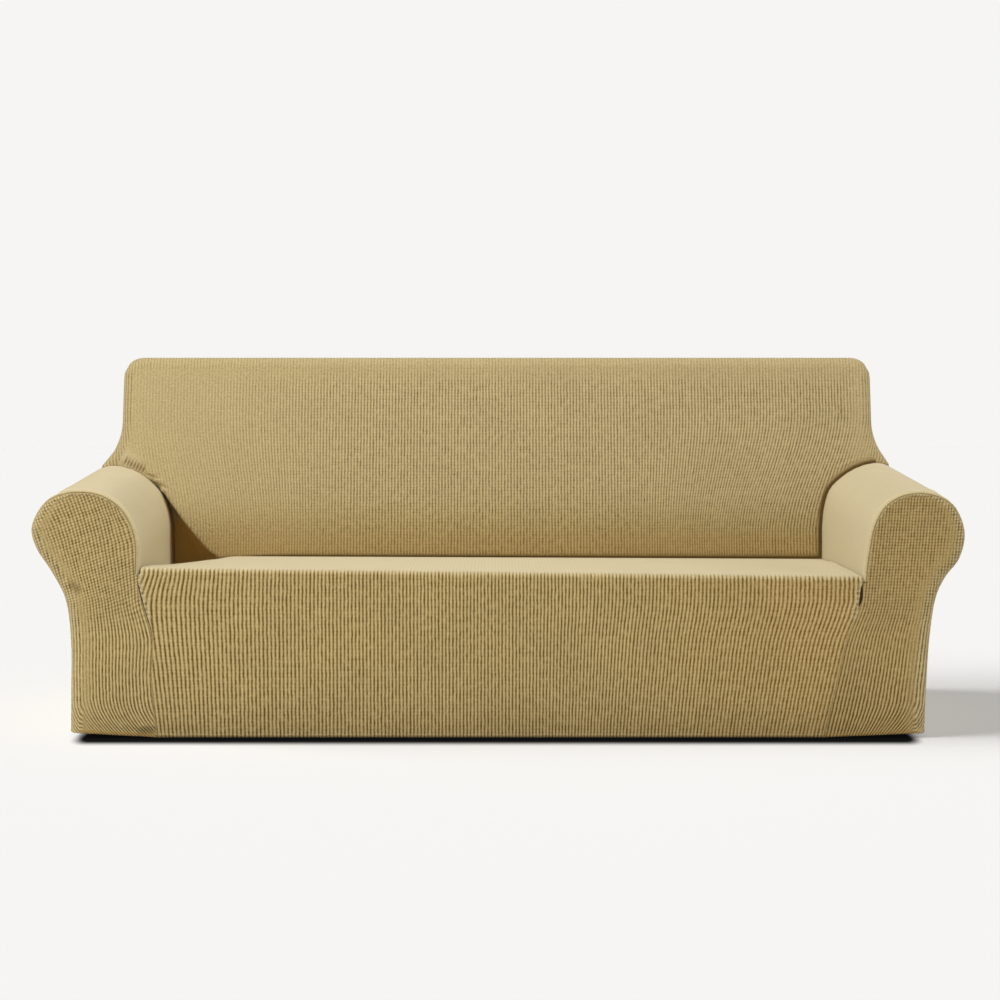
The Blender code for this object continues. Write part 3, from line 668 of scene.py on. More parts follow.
def band_chain(x, z, left_z, right_z, outline):
    """The flat front's edge, from the seat up the wall, over the crown and down the outside."""
    inner, wall_at, outer, outer_at, crown, crown_at = outline
    walled = int(np.searchsorted(left_z[:, 0], inner[OUTLINE_STEPS, 1]))
    chain = [(x[row, 0], z[row, 0]) for row in range(walled, FRONT_ROWS)]
    chain_at = list(np.interp(left_z[walled:-1, 0], inner[OUTLINE_STEPS:, 1], wall_at))
    crown_at_x = np.interp(x[-1], crown[:, 0], crown_at)
    for column in range(x.shape[1]):
        if column and x[-1, column] - x[-1, column - 1] < WELD:
            continue
        chain.append((x[-1, column], z[-1, column]))
        chain_at.append(crown_at_x[column])
    chain += [(x[row, -1], z[row, -1]) for row in range(FRONT_ROWS - 1, -1, -1)]
    chain_at += list(np.interp(-right_z[::-1, 0][1:], -outer[::-1, 1], outer_at[::-1]))
    return np.array(chain), np.array(chain_at)


def band_grid(arm, chain, chain_at, scale):
    """The rounded band from the flat front's edge to the scroll's seam."""
    end = column_value(arm, "seam_deg", chain_at) - seam_clear(arm, chain_at)
    degrees = end * np.linspace(0, 1, BAND_STEPS + 1)[:, None]
    flat, depth = front_edge(arm, chain_at, degrees)
    points = place(arm.side * flat[..., 0], depth, flat[..., 1])
    points[0] = place(arm.side * chain[:, 0], 0.0, chain[:, 1])
    radius = column_value(arm, "front_round", chain_at) + CLOTH
    seam = radius * np.radians(end - degrees)
    x, z = np.abs(points[..., 0]), points[..., 2]
    rib_at = gathered(x, lambda rib: front_lean(arm, rib, z))
    hem = hem_share(z - HEM_CORNER_LIFT) * (chain_at > CROWN_OUTER)
    rib = mix(of_side(arm, BAND_RIB), 1.0, smooth(1 - degrees / end))
    rib = hemmed_rib(rib * smooth(seam / SEAM_RIB_FADE), hem)
    return grid(points, rib_at * scale, front_row(arm, x, z) * scale, rib, front_rows(z),
                BAND_TONE, 0.0, hemmed_lift(seam, hem))


def make_arm_front(arm, material, sizes):
    outline = front_outline(arm)
    inner, _, outer, _, crown, _ = outline
    share = np.linspace(0, 1, FRONT_ROWS + 1)[:, None]
    left_z = mix(hem_height(inner[0, 0]), inner[-1, 1], share)
    right_z = mix(outer[0, 1], outer[-1, 1], share)
    left_x = np.interp(left_z, inner[:, 1], inner[:, 0])
    right_x = np.interp(right_z, outer[:, 1], outer[:, 0])
    ribs = np.arange(FRONT_FIRST, FRONT_LAST, FRONT_PITCH / FRONT_RIB_STEPS)[None, :]
    x = ribs + front_lean(arm, ribs, left_z)
    free = (x > left_x) & (x < right_x)
    x = np.clip(x, left_x, right_x)
    rib_at = np.where(free, ribs, gathered(x, lambda rib: front_lean(arm, rib, left_z)))
    part = (x - left_x) / (right_x - left_x)
    chord = mix(crown[0, 1], crown[-1, 1], (x - crown[0, 0]) / (crown[-1, 0] - crown[0, 0]))
    arch = np.clip((share - CROWN_FROM) / (1 - CROWN_FROM), 0, 1) ** 2
    z = mix(left_z, right_z, part) + arch * (np.interp(x, crown[:, 0], crown[:, 1]) - chord)
    points = place(arm.side * x, 0.0, z)

    scale = sizes.rib_pitch / FRONT_PITCH
    to_apron = np.where(left_z < APRON_SEAM[-1].z + SEAM_OVERRUN, x - left_x, FAR)
    hem = hem_share(z - mix(left_z[0], right_z[0], part))
    rib = hemmed_rib(seam_rib(to_apron), hem)
    rib = rib * mix(of_side(arm, BASE_RIB), MIDDLE_RIB, smooth((z - BASE_TOP) / BASE_FADE))
    rib = rib * mix(SIDE_RIB, 1.0, smooth((right_x - x - SIDE_FROM) / SIDE_FADE))
    folds = fold_lift(arm.side * x, z, FRONT_FOLDS)
    # Painted shade in the folds' troughs and over the right arm front, which is also warmed brown;
    # the hem is tinted golden brown.
    shade = np.maximum(of_side(arm, FRONT_SHADE), HOLLOW_SHADE * trough_share(folds))
    tone = -np.maximum(HEM_BROWN * hem, of_side(arm, FRONT_WARM_SHADE))
    front = grid(points, rib_at * scale, front_row(arm, x, z) * scale, rib,
                 front_rows(z) * of_side(arm, ROW_SHARE), tone, shade,
                 hemmed_lift(to_apron, hem) + folds)
    band = band_grid(arm, *band_chain(x, z, left_z, right_z, outline), scale)

    # The seam allowance, turned in behind the apron, in the groove colour all over: painted shade
    # seen through the notch.
    edge = points[left_z[:, 0] < APRON_SEAM[-1].z, 0]
    turned = [edge] + [edge + [-arm.side * inwards, depth, 0] for inwards, depth in ALLOWANCE]
    turned = np.stack(turned)
    allowance = grid(turned, sizes.rib_pitch / 2, turned[..., 2], 1.0)
    return sew_panel("arm_front_%s_cloth" % arm.name, [front, band, allowance], material,
                     arm.side < 0, sizes)


# ---- Seat deck and apron ----

APRON_ROWS = 46
APRON_LOW_ROWS = 18
APRON_TOP = SEAT_HEIGHT - SEAT_EDGE
EDGE_STEPS = 7
DECK_ROWS = 26
DECK_FIRST_ROW, DECK_ROW_POWER = 0.012, 1.3
SIDE_SAMPLES, SIDE_TOP_ROW = 80, 2.0
SEAT_REACH = 0.82
DECK_REACH = 0.72
APRON_STRETCH = 0.12
CORNER_FROM, CORNER_REACH = 0.364, 0.018
APRON_STITCHES, DECK_STITCHES = 0.25, 0.2
EDGE_RIB, DECK_RIB = 0.30, 0.10
EDGE_PALE_AT = 80  # degrees round the seat's edge
DECK_RIB_FADE, DECK_SEAM_FADE = 0.04, 0.010
# Painted shade on the deck where it runs into the deep fold beside the left arm.
DECK_SHADE, DECK_SHADE_FROM, DECK_SHADE_REACH = 0.48, 0.600, 0.012
# Painted shade in warm brown over the apron, growing towards the right where the light falls off.
APRON_SHADE_LEFT, APRON_SHADE_RIGHT = 0.05, 0.19
APRON_SHADE_FROM, APRON_SHADE_REACH = 0.1, 0.7

# Small puckers up the apron's side seams, just under the seat.
PUCKER_FROM, PUCKER_FADE = 0.270, 0.02
PUCKER_PITCH, PUCKER_HEIGHT, PUCKER_WIDTH = 0.0125, 0.0022, 0.010
PUCKER_SMOOTH = 0.8

# The apron's ribs lean with the right seam, and with the pull beside the left one.
LEAN_RIGHT_AT, LEAN_RIGHT_REACH, LEAN_RIGHT_START = 0.86, 0.45, 0.35
LEAN_LEFT_AT, LEAN_LEFT_REACH = 0.85, 0.11
LEAN_HEIGHTS, LEAN_MOVES_LEFT = (0.0, 0.15, 0.31, 0.38), (0.024, 0.0, -0.026, 0.0)


def deck_side(arm, depth):
    """Half the deck's width at one depth, up to the arm's cloth at the deck's own height."""
    at = np.linspace(arm.low_row, SIDE_TOP_ROW, SIDE_SAMPLES)[:, None]
    depth = np.atleast_1d(depth)
    flat = arm_section(arm, at, depth[None, :])
    over = flat[..., 1] - deck_height(arm.side * flat[..., 0], depth[None, :]) - CLOTH / 2
    found = [np.interp(0.0, over[:, column], at[:, 0]) for column in range(len(depth))]
    return arm_section(arm, np.array(found), depth)[..., 0] - SEAM_LIFT - DECK_CLEAR


def deck_rear(x):
    """The deck's rear edge, just before the inside back, as a depth."""
    into = np.clip((-x - RECESS_END - DECK_SHIFT) / RECESS_TURN, 0, 1)
    crease = BACK_FOOT + CREASE - SEAM_LIFT - DECK_CLEAR
    return mix(crease, arm_end(LEFT, 0) - 2 * SEAM_LIFT, into)


def apron_lean(x, z):
    """How far a rib of the apron has moved sideways from its place at the seat's edge."""
    beside_right = np.exp(-np.maximum(0.0, LEAN_RIGHT_AT - x) / LEAN_RIGHT_REACH)
    right = beside_right * smooth(x / LEAN_RIGHT_START)
    right = right * (seam_x(RIGHT, z) - seam_x(RIGHT, APRON_SEAM[-1].z))
    beside_left = np.exp(-np.maximum(0.0, x + LEAN_LEFT_AT) / LEAN_LEFT_REACH) * (x < 0)
    at = np.interp(z, LEAN_HEIGHTS, range(len(LEAN_HEIGHTS)))
    return right + beside_left * spline(LEAN_MOVES_LEFT, at)


def apron_grid(flat, ribs, edge_sides):
    """The apron, from the hem up to the seat's edge."""
    rises = np.interp(range(1, APRON_ROWS + 1), [0, APRON_LOW_ROWS, APRON_ROWS],
                      [HEM_RISES[-1], PUCKER_FROM, APRON_TOP])
    rises = np.concatenate([HEM_RISES, rises])[:, None]
    turning = smooth((rises - CORNER_FROM) / CORNER_REACH)
    left, right = (mix(seam_x(arm, rises) - notch(arm, rises) - GAP / 2, side, turning)
                   for arm, side in zip((LEFT, RIGHT), edge_sides))
    x = ribs + apron_lean(ribs, rises)
    free = (x > -left) & (x < right)
    x = np.clip(x, -left, right)
    rib_at = np.where(free, ribs, gathered(x, lambda rib: apron_lean(rib, rises)))
    z = mix(hem_height(x), deck_height(x, 0.0) - SEAT_EDGE, rises / APRON_TOP)
    seam = np.minimum(x + left, right - x)
    hem = hem_share(rises)
    corner = np.exp(-(seam / PUCKER_WIDTH) ** 2) * smooth((z - PUCKER_FROM) / PUCKER_FADE)
    puckers = corner * (0.5 + 0.5 * np.cos(2 * math.pi * z / PUCKER_PITCH))
    rib = hemmed_rib(seam_rib(seam), hem) * (1 - PUCKER_SMOOTH * puckers)
    # Painted shade in warm brown, growing towards the right; the puckers stay pale.
    warm_shade = mix(APRON_SHADE_LEFT, APRON_SHADE_RIGHT, smooth((x - APRON_SHADE_FROM) / APRON_SHADE_REACH))
    tone = puckers - warm_shade * (1 - puckers)
    return grid(place(x, 0.0, z), np.interp(rib_at, ribs[0], flat[0]), z, rib, APRON_STITCHES,
                tone, 0.0, hemmed_lift(seam, hem) + PUCKER_HEIGHT * puckers)


def edge_grid(flat, ribs, edge_sides, apron_top):
    """The roll over the seat's edge, which goes on from the apron's last row of points."""
    left, right = edge_sides
    degrees = np.linspace(0, 90, EDGE_STEPS + 1)[:, None]
    angle = np.radians(degrees)
    x = np.clip(ribs, -left, right)
    depth = SEAT_EDGE * (1 - np.cos(angle))
    points = place(x, depth, deck_height(x, 0.0) - SEAT_EDGE * (1 - np.sin(angle)))
    points[0] = apron_top
    seam = np.minimum(x + left, right - x)
    turned = smooth(degrees / EDGE_PALE_AT)
    rib = mix(1.0, EDGE_RIB, turned) * smooth(seam / SEAM_RIB_FADE)
    return grid(points, flat, APRON_TOP + depth, rib, APRON_STITCHES, turned, 0.0, seam_lift(seam))


def deck_grid(flat, ribs):
    """The deck, pulled smooth, from the seat's edge to the crease."""
    share = (np.linspace(0, 1, DECK_ROWS + 1) ** DECK_ROW_POWER)[:, None]
    share = np.concatenate([share[:1], [[DECK_FIRST_ROW]], share[1:]])
    guess = np.clip(ribs, -SEAT_HALF_WIDTH, SEAT_HALF_WIDTH)
    depth = mix(SEAT_EDGE, deck_rear(guess), share)
    sampled = np.linspace(SEAT_EDGE, DECK_REACH, SIDE_SAMPLES)
    left, right = (np.interp(depth, sampled, deck_side(arm, sampled)) for arm in (LEFT, RIGHT))
    x = np.clip(ribs, -left, right)
    seam = np.minimum(x + left, right - x)
    rib = mix(EDGE_RIB, DECK_RIB, smooth(depth / DECK_RIB_FADE)) * smooth(seam / DECK_SEAM_FADE)
    # Painted shade where the deck runs into the deep fold.
    shade = DECK_SHADE * smooth((depth - DECK_SHADE_FROM) / DECK_SHADE_REACH)
    return grid(place(x, depth, deck_height(x, depth)), flat, APRON_TOP + depth, rib,
                DECK_STITCHES, 1.0, shade, seam_lift(seam))


def make_seat_front(material, sizes):
    step = sizes.rib_pitch / RIB_STEPS
    count = int(SEAT_REACH / step)
    flat = (np.arange(-count, count + 1) * step)[None, :]
    ribs = spread_ribs(flat, APRON_STRETCH, SEAT_HALF_WIDTH)
    edge_sides = [float(deck_side(arm, SEAT_EDGE)[0]) for arm in (LEFT, RIGHT)]
    apron = apron_grid(flat, ribs, edge_sides)
    edge = edge_grid(flat, ribs, edge_sides, apron.points[-1])
    grids = [apron, edge, deck_grid(flat, ribs)]
    return sew_panel("seat_front_cloth", grids, material, False, sizes)


# ---- Inside back ----

ARM_ZONE_STEPS = 40
LEFT_STEPS, LEFT_ROWS_AT = (0, 9, 30, 86), (0, 3.0, 4.5, TURN_START)  # closest at the gathers
FOLD_ZONE_STEPS = 9
CORNER_STEPS = 5
FACE_ROWS, LOW_FACE_ROWS, LOW_FACE_SHARE = 38, 18, 0.16
FACE_TOP = BACK_TOP - BACK_EDGE
FOLD_END_REACH = 0.2
FOOT_PLACES = (0.0, 0.5, 1.0, 1.3, 1.6, 1.9, 2.2, 2.5, 2.75, 3.0)
SIDE_POINTS, CORNER_POINTS = 120, 30
RIM_TURN_STEPS, RIM_RUN_STEPS, RIM_REAR_STEPS = 6, 3, 4

# How strong the ribs and the rows of stitches are, and how pale the cloth is stretched.
BACK_RIB, BACK_EDGE_RIB, BACK_STITCHES = 0.70, 0.5, 0.35
RIM_SIDE_RIB, RIM_TOP_RIB = 0.55, 0.32
BACK_TONE, BACK_EDGE_TONE, BACK_EDGE_REACH = 0.34, 0.30, 0.05
FOOT_RIB_FADE = 0.01
FAINT_LEFT, FAINT_REACH = 0.35, 0.75

# Painted shade in the crease at the foot, faint over the left arm's crest and none beyond the right
# arm's, and painted shade in warm brown deep in the fold and at the foot, darker towards the seat.
CREASE_SHADE, CREASE_REACH = 0.95, 0.0042
CREST_LEFT, CREST_FROM, CREST_REACH, CREST_END = 0.08, 0.895, 0.045, 1.062
DEEP_FOLD_SHADE, DEEP_TOP, DEEP_FADE = 0.80, 0.50, 0.02
FOOT_WARM_SHADE, FOOT_SHADE, FOOT_FROM, FOOT_REACH, FOOT_SIDE = -0.20, 0.13, 0.400, 0.160, 0.3
FLARE_TONE, FLARE_REACH, FLARE_FROM, FLARE_FADE = 0.60, 0.045, 0.925, 0.04

# The back's sides sweep out over the arms by this many rows of the arm's outline. The sweep starts
# within SWEEP_TURN rows, lies closer to the arm, and is gone again at the outside back.
SWEEP_OVER = (0.95, 0.60)
SWEEP_TURN, SWEEP_LOW, SWEEP_REAR = 0.15, 0.9, 0.09

# Below LEAN_FROM the ribs lean in from both sides: from which x, over what width, and how far.
Lean = namedtuple("Lean", "side start reach move")
BACK_LEANS = (Lean(1, 0.30, 0.55, -0.085), Lean(-1, 0.40, 0.45, 0.045))
LEAN_FROM, LEAN_DROP = 0.77, 0.33

# Where the inside back's left foot is gathered onto the arm: a row of small puckers beside two
# leaf-shaped folds, each with its trough and the lip that catches the light.
GATHER_START, GATHER_END = (-0.992, 0.642), (-0.930, 0.612)
GATHER_PITCH, GATHER_DEPTH, GATHER_REACH, GATHER_FADE = 0.0088, 0.0034, 0.0110, 0.1
# Painted shade in the puckers and in the folds' troughs.
GATHER_SHADE = 0.65
BACK_FOLDS = (
    Fold((-0.929, 0.604), (-0.898, 0.594), 0.0022, -0.0024),
    Fold((-0.922, 0.594), (-0.890, 0.584), 0.0028, 0.0036),
    Fold((-0.912, 0.583), (-0.874, 0.569), 0.0022, -0.0030),
    Fold((-0.902, 0.572), (-0.870, 0.556), 0.0028, 0.0036),
)


def back_lean(x, z):
    """How far the inside back's ribs have moved sideways from their places at its top."""
    low = smooth((LEAN_FROM - z) / LEAN_DROP)
    return sum(lean.move * smooth((lean.side * x - lean.start) / lean.reach) * low
               for lean in BACK_LEANS)


def rib_line(across, z):
    """Where the rib that is at this place in the flat cloth passes a height."""
    x = np.asarray(across, float) + 0 * z
    for _ in range(LINE_ROUNDS):
        x = across + back_lean(x, z)
    return x


def side_outline(z):
    """The back's side at one height and the way out of it, flared down to the arm."""
    share = np.clip((z - FLARE_FOOT) / FLARE_RISE, 0, 1)
    x = BACK_HALF_WIDTH + FLARE_OUT * (1 - share) ** 2
    slope = 2 * FLARE_OUT * (1 - share) / FLARE_RISE
    out = pair(1.0 + 0 * slope, slope)
    return pair(x, z), out / np.linalg.norm(out, axis=-1, keepdims=True)


def corner_outline(degrees):
    """The back's rounded top corner, from 0 at the side to 90 at the top: point and way out."""
    angle = np.radians(degrees)
    out = pair(np.cos(angle), np.sin(angle))
    centre = np.array([BACK_HALF_WIDTH - BACK_CORNER, BACK_TOP - BACK_CORNER])
    return centre + out * BACK_CORNER, out


def side_frames(arm, shares):
    """The face's edge and the way out, up the back's side and half round its corner."""
    foot = arm_section(arm, TURN_START, SECTION_DEPTH)[..., 1] + SIDE_RISE
    point, out = side_outline(np.linspace(foot, BACK_TOP - BACK_CORNER, SIDE_POINTS))
    corner, corner_out = corner_outline(np.linspace(0, 45, CORNER_POINTS)[1:])
    point, out = np.concatenate([point, corner]), np.concatenate([out, corner_out])
    edge = point - out * BACK_EDGE
    height = (edge[:, 1] - edge[0, 1]) / (edge[-1, 1] - edge[0, 1])
    found = np.stack([np.interp(shares, height, line) for line in (*edge.T, *out.T)], -1)
    return found[..., :2], found[..., 2:]


def recess_edge(share):
    """The fold's slanted edge, from 0 at the seat to 1 at its top, as (x, z)."""
    top = lifted(LEFT, RECESS_TOP, SECTION_DEPTH, STRIP_LIFTS[2])
    edge = np.concatenate([np.array(RECESS_EDGE), [top]])
    return spline(edge, np.asarray(share) * (len(edge) - 1))


def face_foot(arm, at):
    """Where the face begins beside the arm, as (x, z): on the left along the fold's edge."""
    flat = lifted(arm, at, SECTION_DEPTH, STRIP_LIFTS[2])
    flat[..., 1] = np.maximum(flat[..., 1], SEAT_HEIGHT + FACE_RISE + FACE_RISE_PER_ROW * at)
    side, _ = side_frames(arm, np.array([0.0]))
    onward = np.clip(at - TURN_START + 1, 0, 1)[..., None]
    start = lifted(arm, TURN_START - 1, SECTION_DEPTH, STRIP_LIFTS[2])
    flat = mix(flat, mix(start, side[0], onward), smooth(onward))
    if arm.recess:
        slanted = recess_edge(mix(RECESS_SHARES[0], 1, np.minimum(1.0, at / RECESS_TOP)))
        flat = np.where((at < RECESS_TOP)[..., None], slanted, flat)
    return flat


def crease_depth(x):
    """The depth of the crease behind the seat, and of the deep fold at its left end."""
    into = np.clip((-x - RECESS_END) / RECESS_TURN, 0, 1)
    return mix(BACK_FOOT + CREASE, arm_end(LEFT, 0), into)


def fold_column(low, near, face, deep):
    """Four points up a column's foot, straight up or along the deep fold's rear wall."""
    run = face - near
    run[..., 1] = 0
    length = np.maximum(np.linalg.norm(run, axis=-1), RECESS_WALL)
    along = near + run * (1 - RECESS_WALL / length)[..., None]
    near = np.where(deep[..., None], along, near)
    middle = mix(near, face, FOLD_UP)
    middle[..., 1] = mix(near[..., 1], face[..., 1], FOLD_OUT)
    return np.stack([low, near, middle, face])


def on_face(flat, side=1):
    """Points of the inside back's face at (x, z), moved to the arm's side where they are on +X."""
    x, z = flat[..., 0], flat[..., 1]
    return place(side * x, face_depth(x, z), z)


def arm_foot(arm, at):
    """The foot of each of the face's columns beside an arm, from the arm's cloth up."""
    depth = arm_end(arm, at)
    low, near = (lifted(arm, at, depth, lift) for lift in STRIP_LIFTS[:2])
    floor = deck_height(arm.side * low[..., 0], depth)
    low[..., 1] = np.where(at <= 0, floor - TUCK_UNDER, low[..., 1])
    near[..., 1] = np.where(at <= 0, floor + FOOT_RISE, near[..., 1])
    low, near = (place(arm.side * flat[..., 0], depth, flat[..., 1]) for flat in (low, near))
    deep = (at < RECESS_TOP) & (arm.recess > 0)
    return fold_column(low, near, on_face(face_foot(arm, at), arm.side), deep)


def seat_foot(x, face_flat, deep):
    """The foot of each of the face's columns behind the seat, from the crease up."""
    depth = crease_depth(x)
    floor = deck_height(x, depth)
    low, near = place(x, depth, floor - TUCK_UNDER), place(x, depth, floor + FOOT_RISE)
    return fold_column(low, near, on_face(face_flat), np.full(len(x), deep))


def corner_zone(arm, feet, inner_line, shares):
    """The face over one arm: from the last upright rib to the back's side, as (x, z) rows.

    feet is the face's lower edge from that rib outwards, on the +X side.
    """
    count = feet.shape[0] - 1
    part = np.linspace(0, 1, count + 1)
    side, side_out = side_frames(arm, shares)
    arc, arc_out = corner_outline(np.linspace(90, 45, CORNER_STEPS + 1))
    arc = arc - arc_out * BACK_EDGE
    straight = mix(inner_line[-1], arc[0], np.linspace(0, 1, count + 1 - CORNER_STEPS)[:, None])
    top = np.concatenate([straight[:-1], arc])
    top_out = np.concatenate([np.tile([0.0, 1.0], (len(straight) - 1, 1)), arc_out])
    rows = mix(feet[None], top[None], shares[:, None, None])
    inner_bend = inner_line - mix(inner_line[0], inner_line[-1], shares[:, None])
    side_bend = side - mix(side[0], side[-1], shares[:, None])
    rows = rows + (1 - part)[None, :, None] * inner_bend[:, None]
    rows = rows + (part ** 3)[None, :, None] * side_bend[:, None]
    return rows, top_out, side_out


def quarter_turn(steps, first):
    return [math.radians(90 * (step / steps)) for step in range(first, steps + 1)]


def rim_points(points, outs):
    """From the face's edge, round onto the top or side, back along it and round to the rear."""
    outs = np.stack([outs[..., 0], 0 * outs[..., 0], outs[..., 1]], -1)
    edge = outs * BACK_EDGE
    start, end = points[..., 1] + BACK_EDGE, FRONT_Y + DEPTH - GAP - REAR_ROUND
    rows = []
    for angle in quarter_turn(RIM_TURN_STEPS, 0):
        y = points[..., 1] + BACK_EDGE * (1 - math.cos(angle))
        rows.append((points + edge * math.sin(angle), y))
    for step in range(1, RIM_RUN_STEPS + 1):
        rows.append((points + edge, mix(start, end, step / RIM_RUN_STEPS)))
    for angle in quarter_turn(RIM_REAR_STEPS, 1):
        turned = points + edge - outs * REAR_ROUND * (1 - math.cos(angle))
        rows.append((turned, end + REAR_ROUND * math.sin(angle)))
    for row, y in rows:
        row[..., 1] = y
    return np.stack([row for row, _ in rows])


def rim_foot(arm, depth, lift):
    """The lowest edge of the back's side, where it runs back along the top of the arm."""
    at = turn_place(arm, depth)
    depth = arm_end(arm, at)
    spread = smooth((at - TURN_START) / SWEEP_TURN) * (TURN_END - at)
    spread = spread * smooth((DEPTH - GAP - depth) / SWEEP_REAR)
    lift = mix(lift, STRIP_LIFTS[0], SWEEP_LOW * spread)
    flat = lifted(arm, at + of_side(arm, SWEEP_OVER) * spread, depth, lift)
    return place(arm.side * flat[..., 0], depth, flat[..., 1])


def rim_side(arm, controls, face, outs):
    """The rim beside one arm, from its foot on the arm up to the corner."""
    upper = rim_points(face, outs)
    above = upper[:, 0]
    depth = above[:, 1] - FRONT_Y
    low, near = rim_foot(arm, depth, STRIP_LIFTS[0]), rim_foot(arm, depth, STRIP_LIFTS[1])
    middle = mix(near, above, FOLD_UP)
    lower = np.stack([low, near, middle, above, upper[:, 1]])
    lower[:, 0] = controls
    feet = spline(lower, np.array(FOOT_PLACES))
    return np.concatenate([feet.transpose(1, 0, 2), upper[:, 1:]], axis=1)


def face_grid(sheet, foot_z):
    """The inside back's face and foot, with the gathers, the creases and the deep fold."""
    x, z = sheet[..., 0], sheet[..., 2]
    above_foot = z - foot_z
    edge = np.minimum(FACE_TOP - z, BACK_HALF_WIDTH - BACK_EDGE - np.abs(x))
    edge = smooth(edge / BACK_EDGE_REACH)
    rib = BACK_RIB * mix(BACK_EDGE_RIB, 1.0, edge) * smooth(1 + above_foot / FOOT_RIB_FADE)
    rib = rib * mix(FAINT_LEFT, 1.0, smooth((x + BACK_HALF_WIDTH) / FAINT_REACH))
    tone = mix(BACK_EDGE_TONE, BACK_TONE, edge)

    # Painted shade in the crease, and painted shade in warm brown deep in the fold.
    behind = sheet[..., 1] - FRONT_Y - face_depth(x, z)
    deep = smooth((-x - RECESS_END + RECESS_TURN) / RECESS_TURN)
    deep = deep * smooth((DEEP_TOP - z) / DEEP_FADE) * smooth(behind / CREASE_REACH)
    tone = mix(tone, -DEEP_FOLD_SHADE, deep)
    crease = CREASE_SHADE * np.clip(behind / CREASE_REACH, 0, 1) ** 2
    crease = crease * mix(CREST_LEFT, 1.0, smooth((x + CREST_FROM) / CREST_REACH))
    crease = crease * smooth((CREST_END - x) / CREST_REACH) * (1 - deep)
    # Painted shade at the foot, darker and warmer towards the seat.
    foot = smooth(1 - (z - FOOT_FROM) / FOOT_REACH) * smooth((x + BACK_HALF_WIDTH) / FOOT_SIDE)
    foot = foot * (1 - deep)
    tone = mix(tone, FOOT_WARM_SHADE, foot)

    # The smooth cloth on the left flare.
    flare = smooth(1 - above_foot / FLARE_REACH) * smooth((-x - FLARE_FROM) / FLARE_FADE)
    tone = mix(tone, FLARE_TONE, flare)
    rib = rib * (1 - flare)

    share, away = beside_line(x, z, GATHER_START, GATHER_END)
    length = math.dist(GATHER_START, GATHER_END)
    puckers = 0.5 + 0.5 * np.cos(2 * math.pi * share * length / GATHER_PITCH)
    puckers = puckers * smooth(share / GATHER_FADE) * smooth((1 - share) / GATHER_FADE)
    puckers = puckers * np.exp(-(away / GATHER_REACH) ** 2)
    folds = fold_lift(x, z, BACK_FOLDS)
    # Painted shade from the crease, the foot, the puckers and the folds' troughs.
    shade = np.maximum(np.maximum(crease, FOOT_SHADE * foot), GATHER_SHADE * puckers)
    shade = np.maximum(shade, GATHER_SHADE * trough_share(folds))
    across = gathered(x, lambda rib: back_lean(rib, z))
    return grid(sheet, across, z, rib, BACK_STITCHES, tone, shade,
                CLOTH + folds - GATHER_DEPTH * puckers)


def rim_grid(rim, outs):
    """The rim, whose cloth goes straight on from the face's edge the way it is folded over."""
    gone = arc_length(rim)
    edge_x, edge_z = rim[0, :, 0], rim[0, :, 2]
    across = gathered(edge_x, lambda rib: back_lean(rib, edge_z)) + outs[:, 0] * gone
    over_top = outs[:, 1] ** 2
    rib = mix(RIM_SIDE_RIB, RIM_TOP_RIB, over_top)
    return grid(rim, across, edge_z + outs[:, 1] * gone, rib, BACK_STITCHES, BACK_EDGE_TONE, 0.0,
                CLOTH, over_top ** 4)


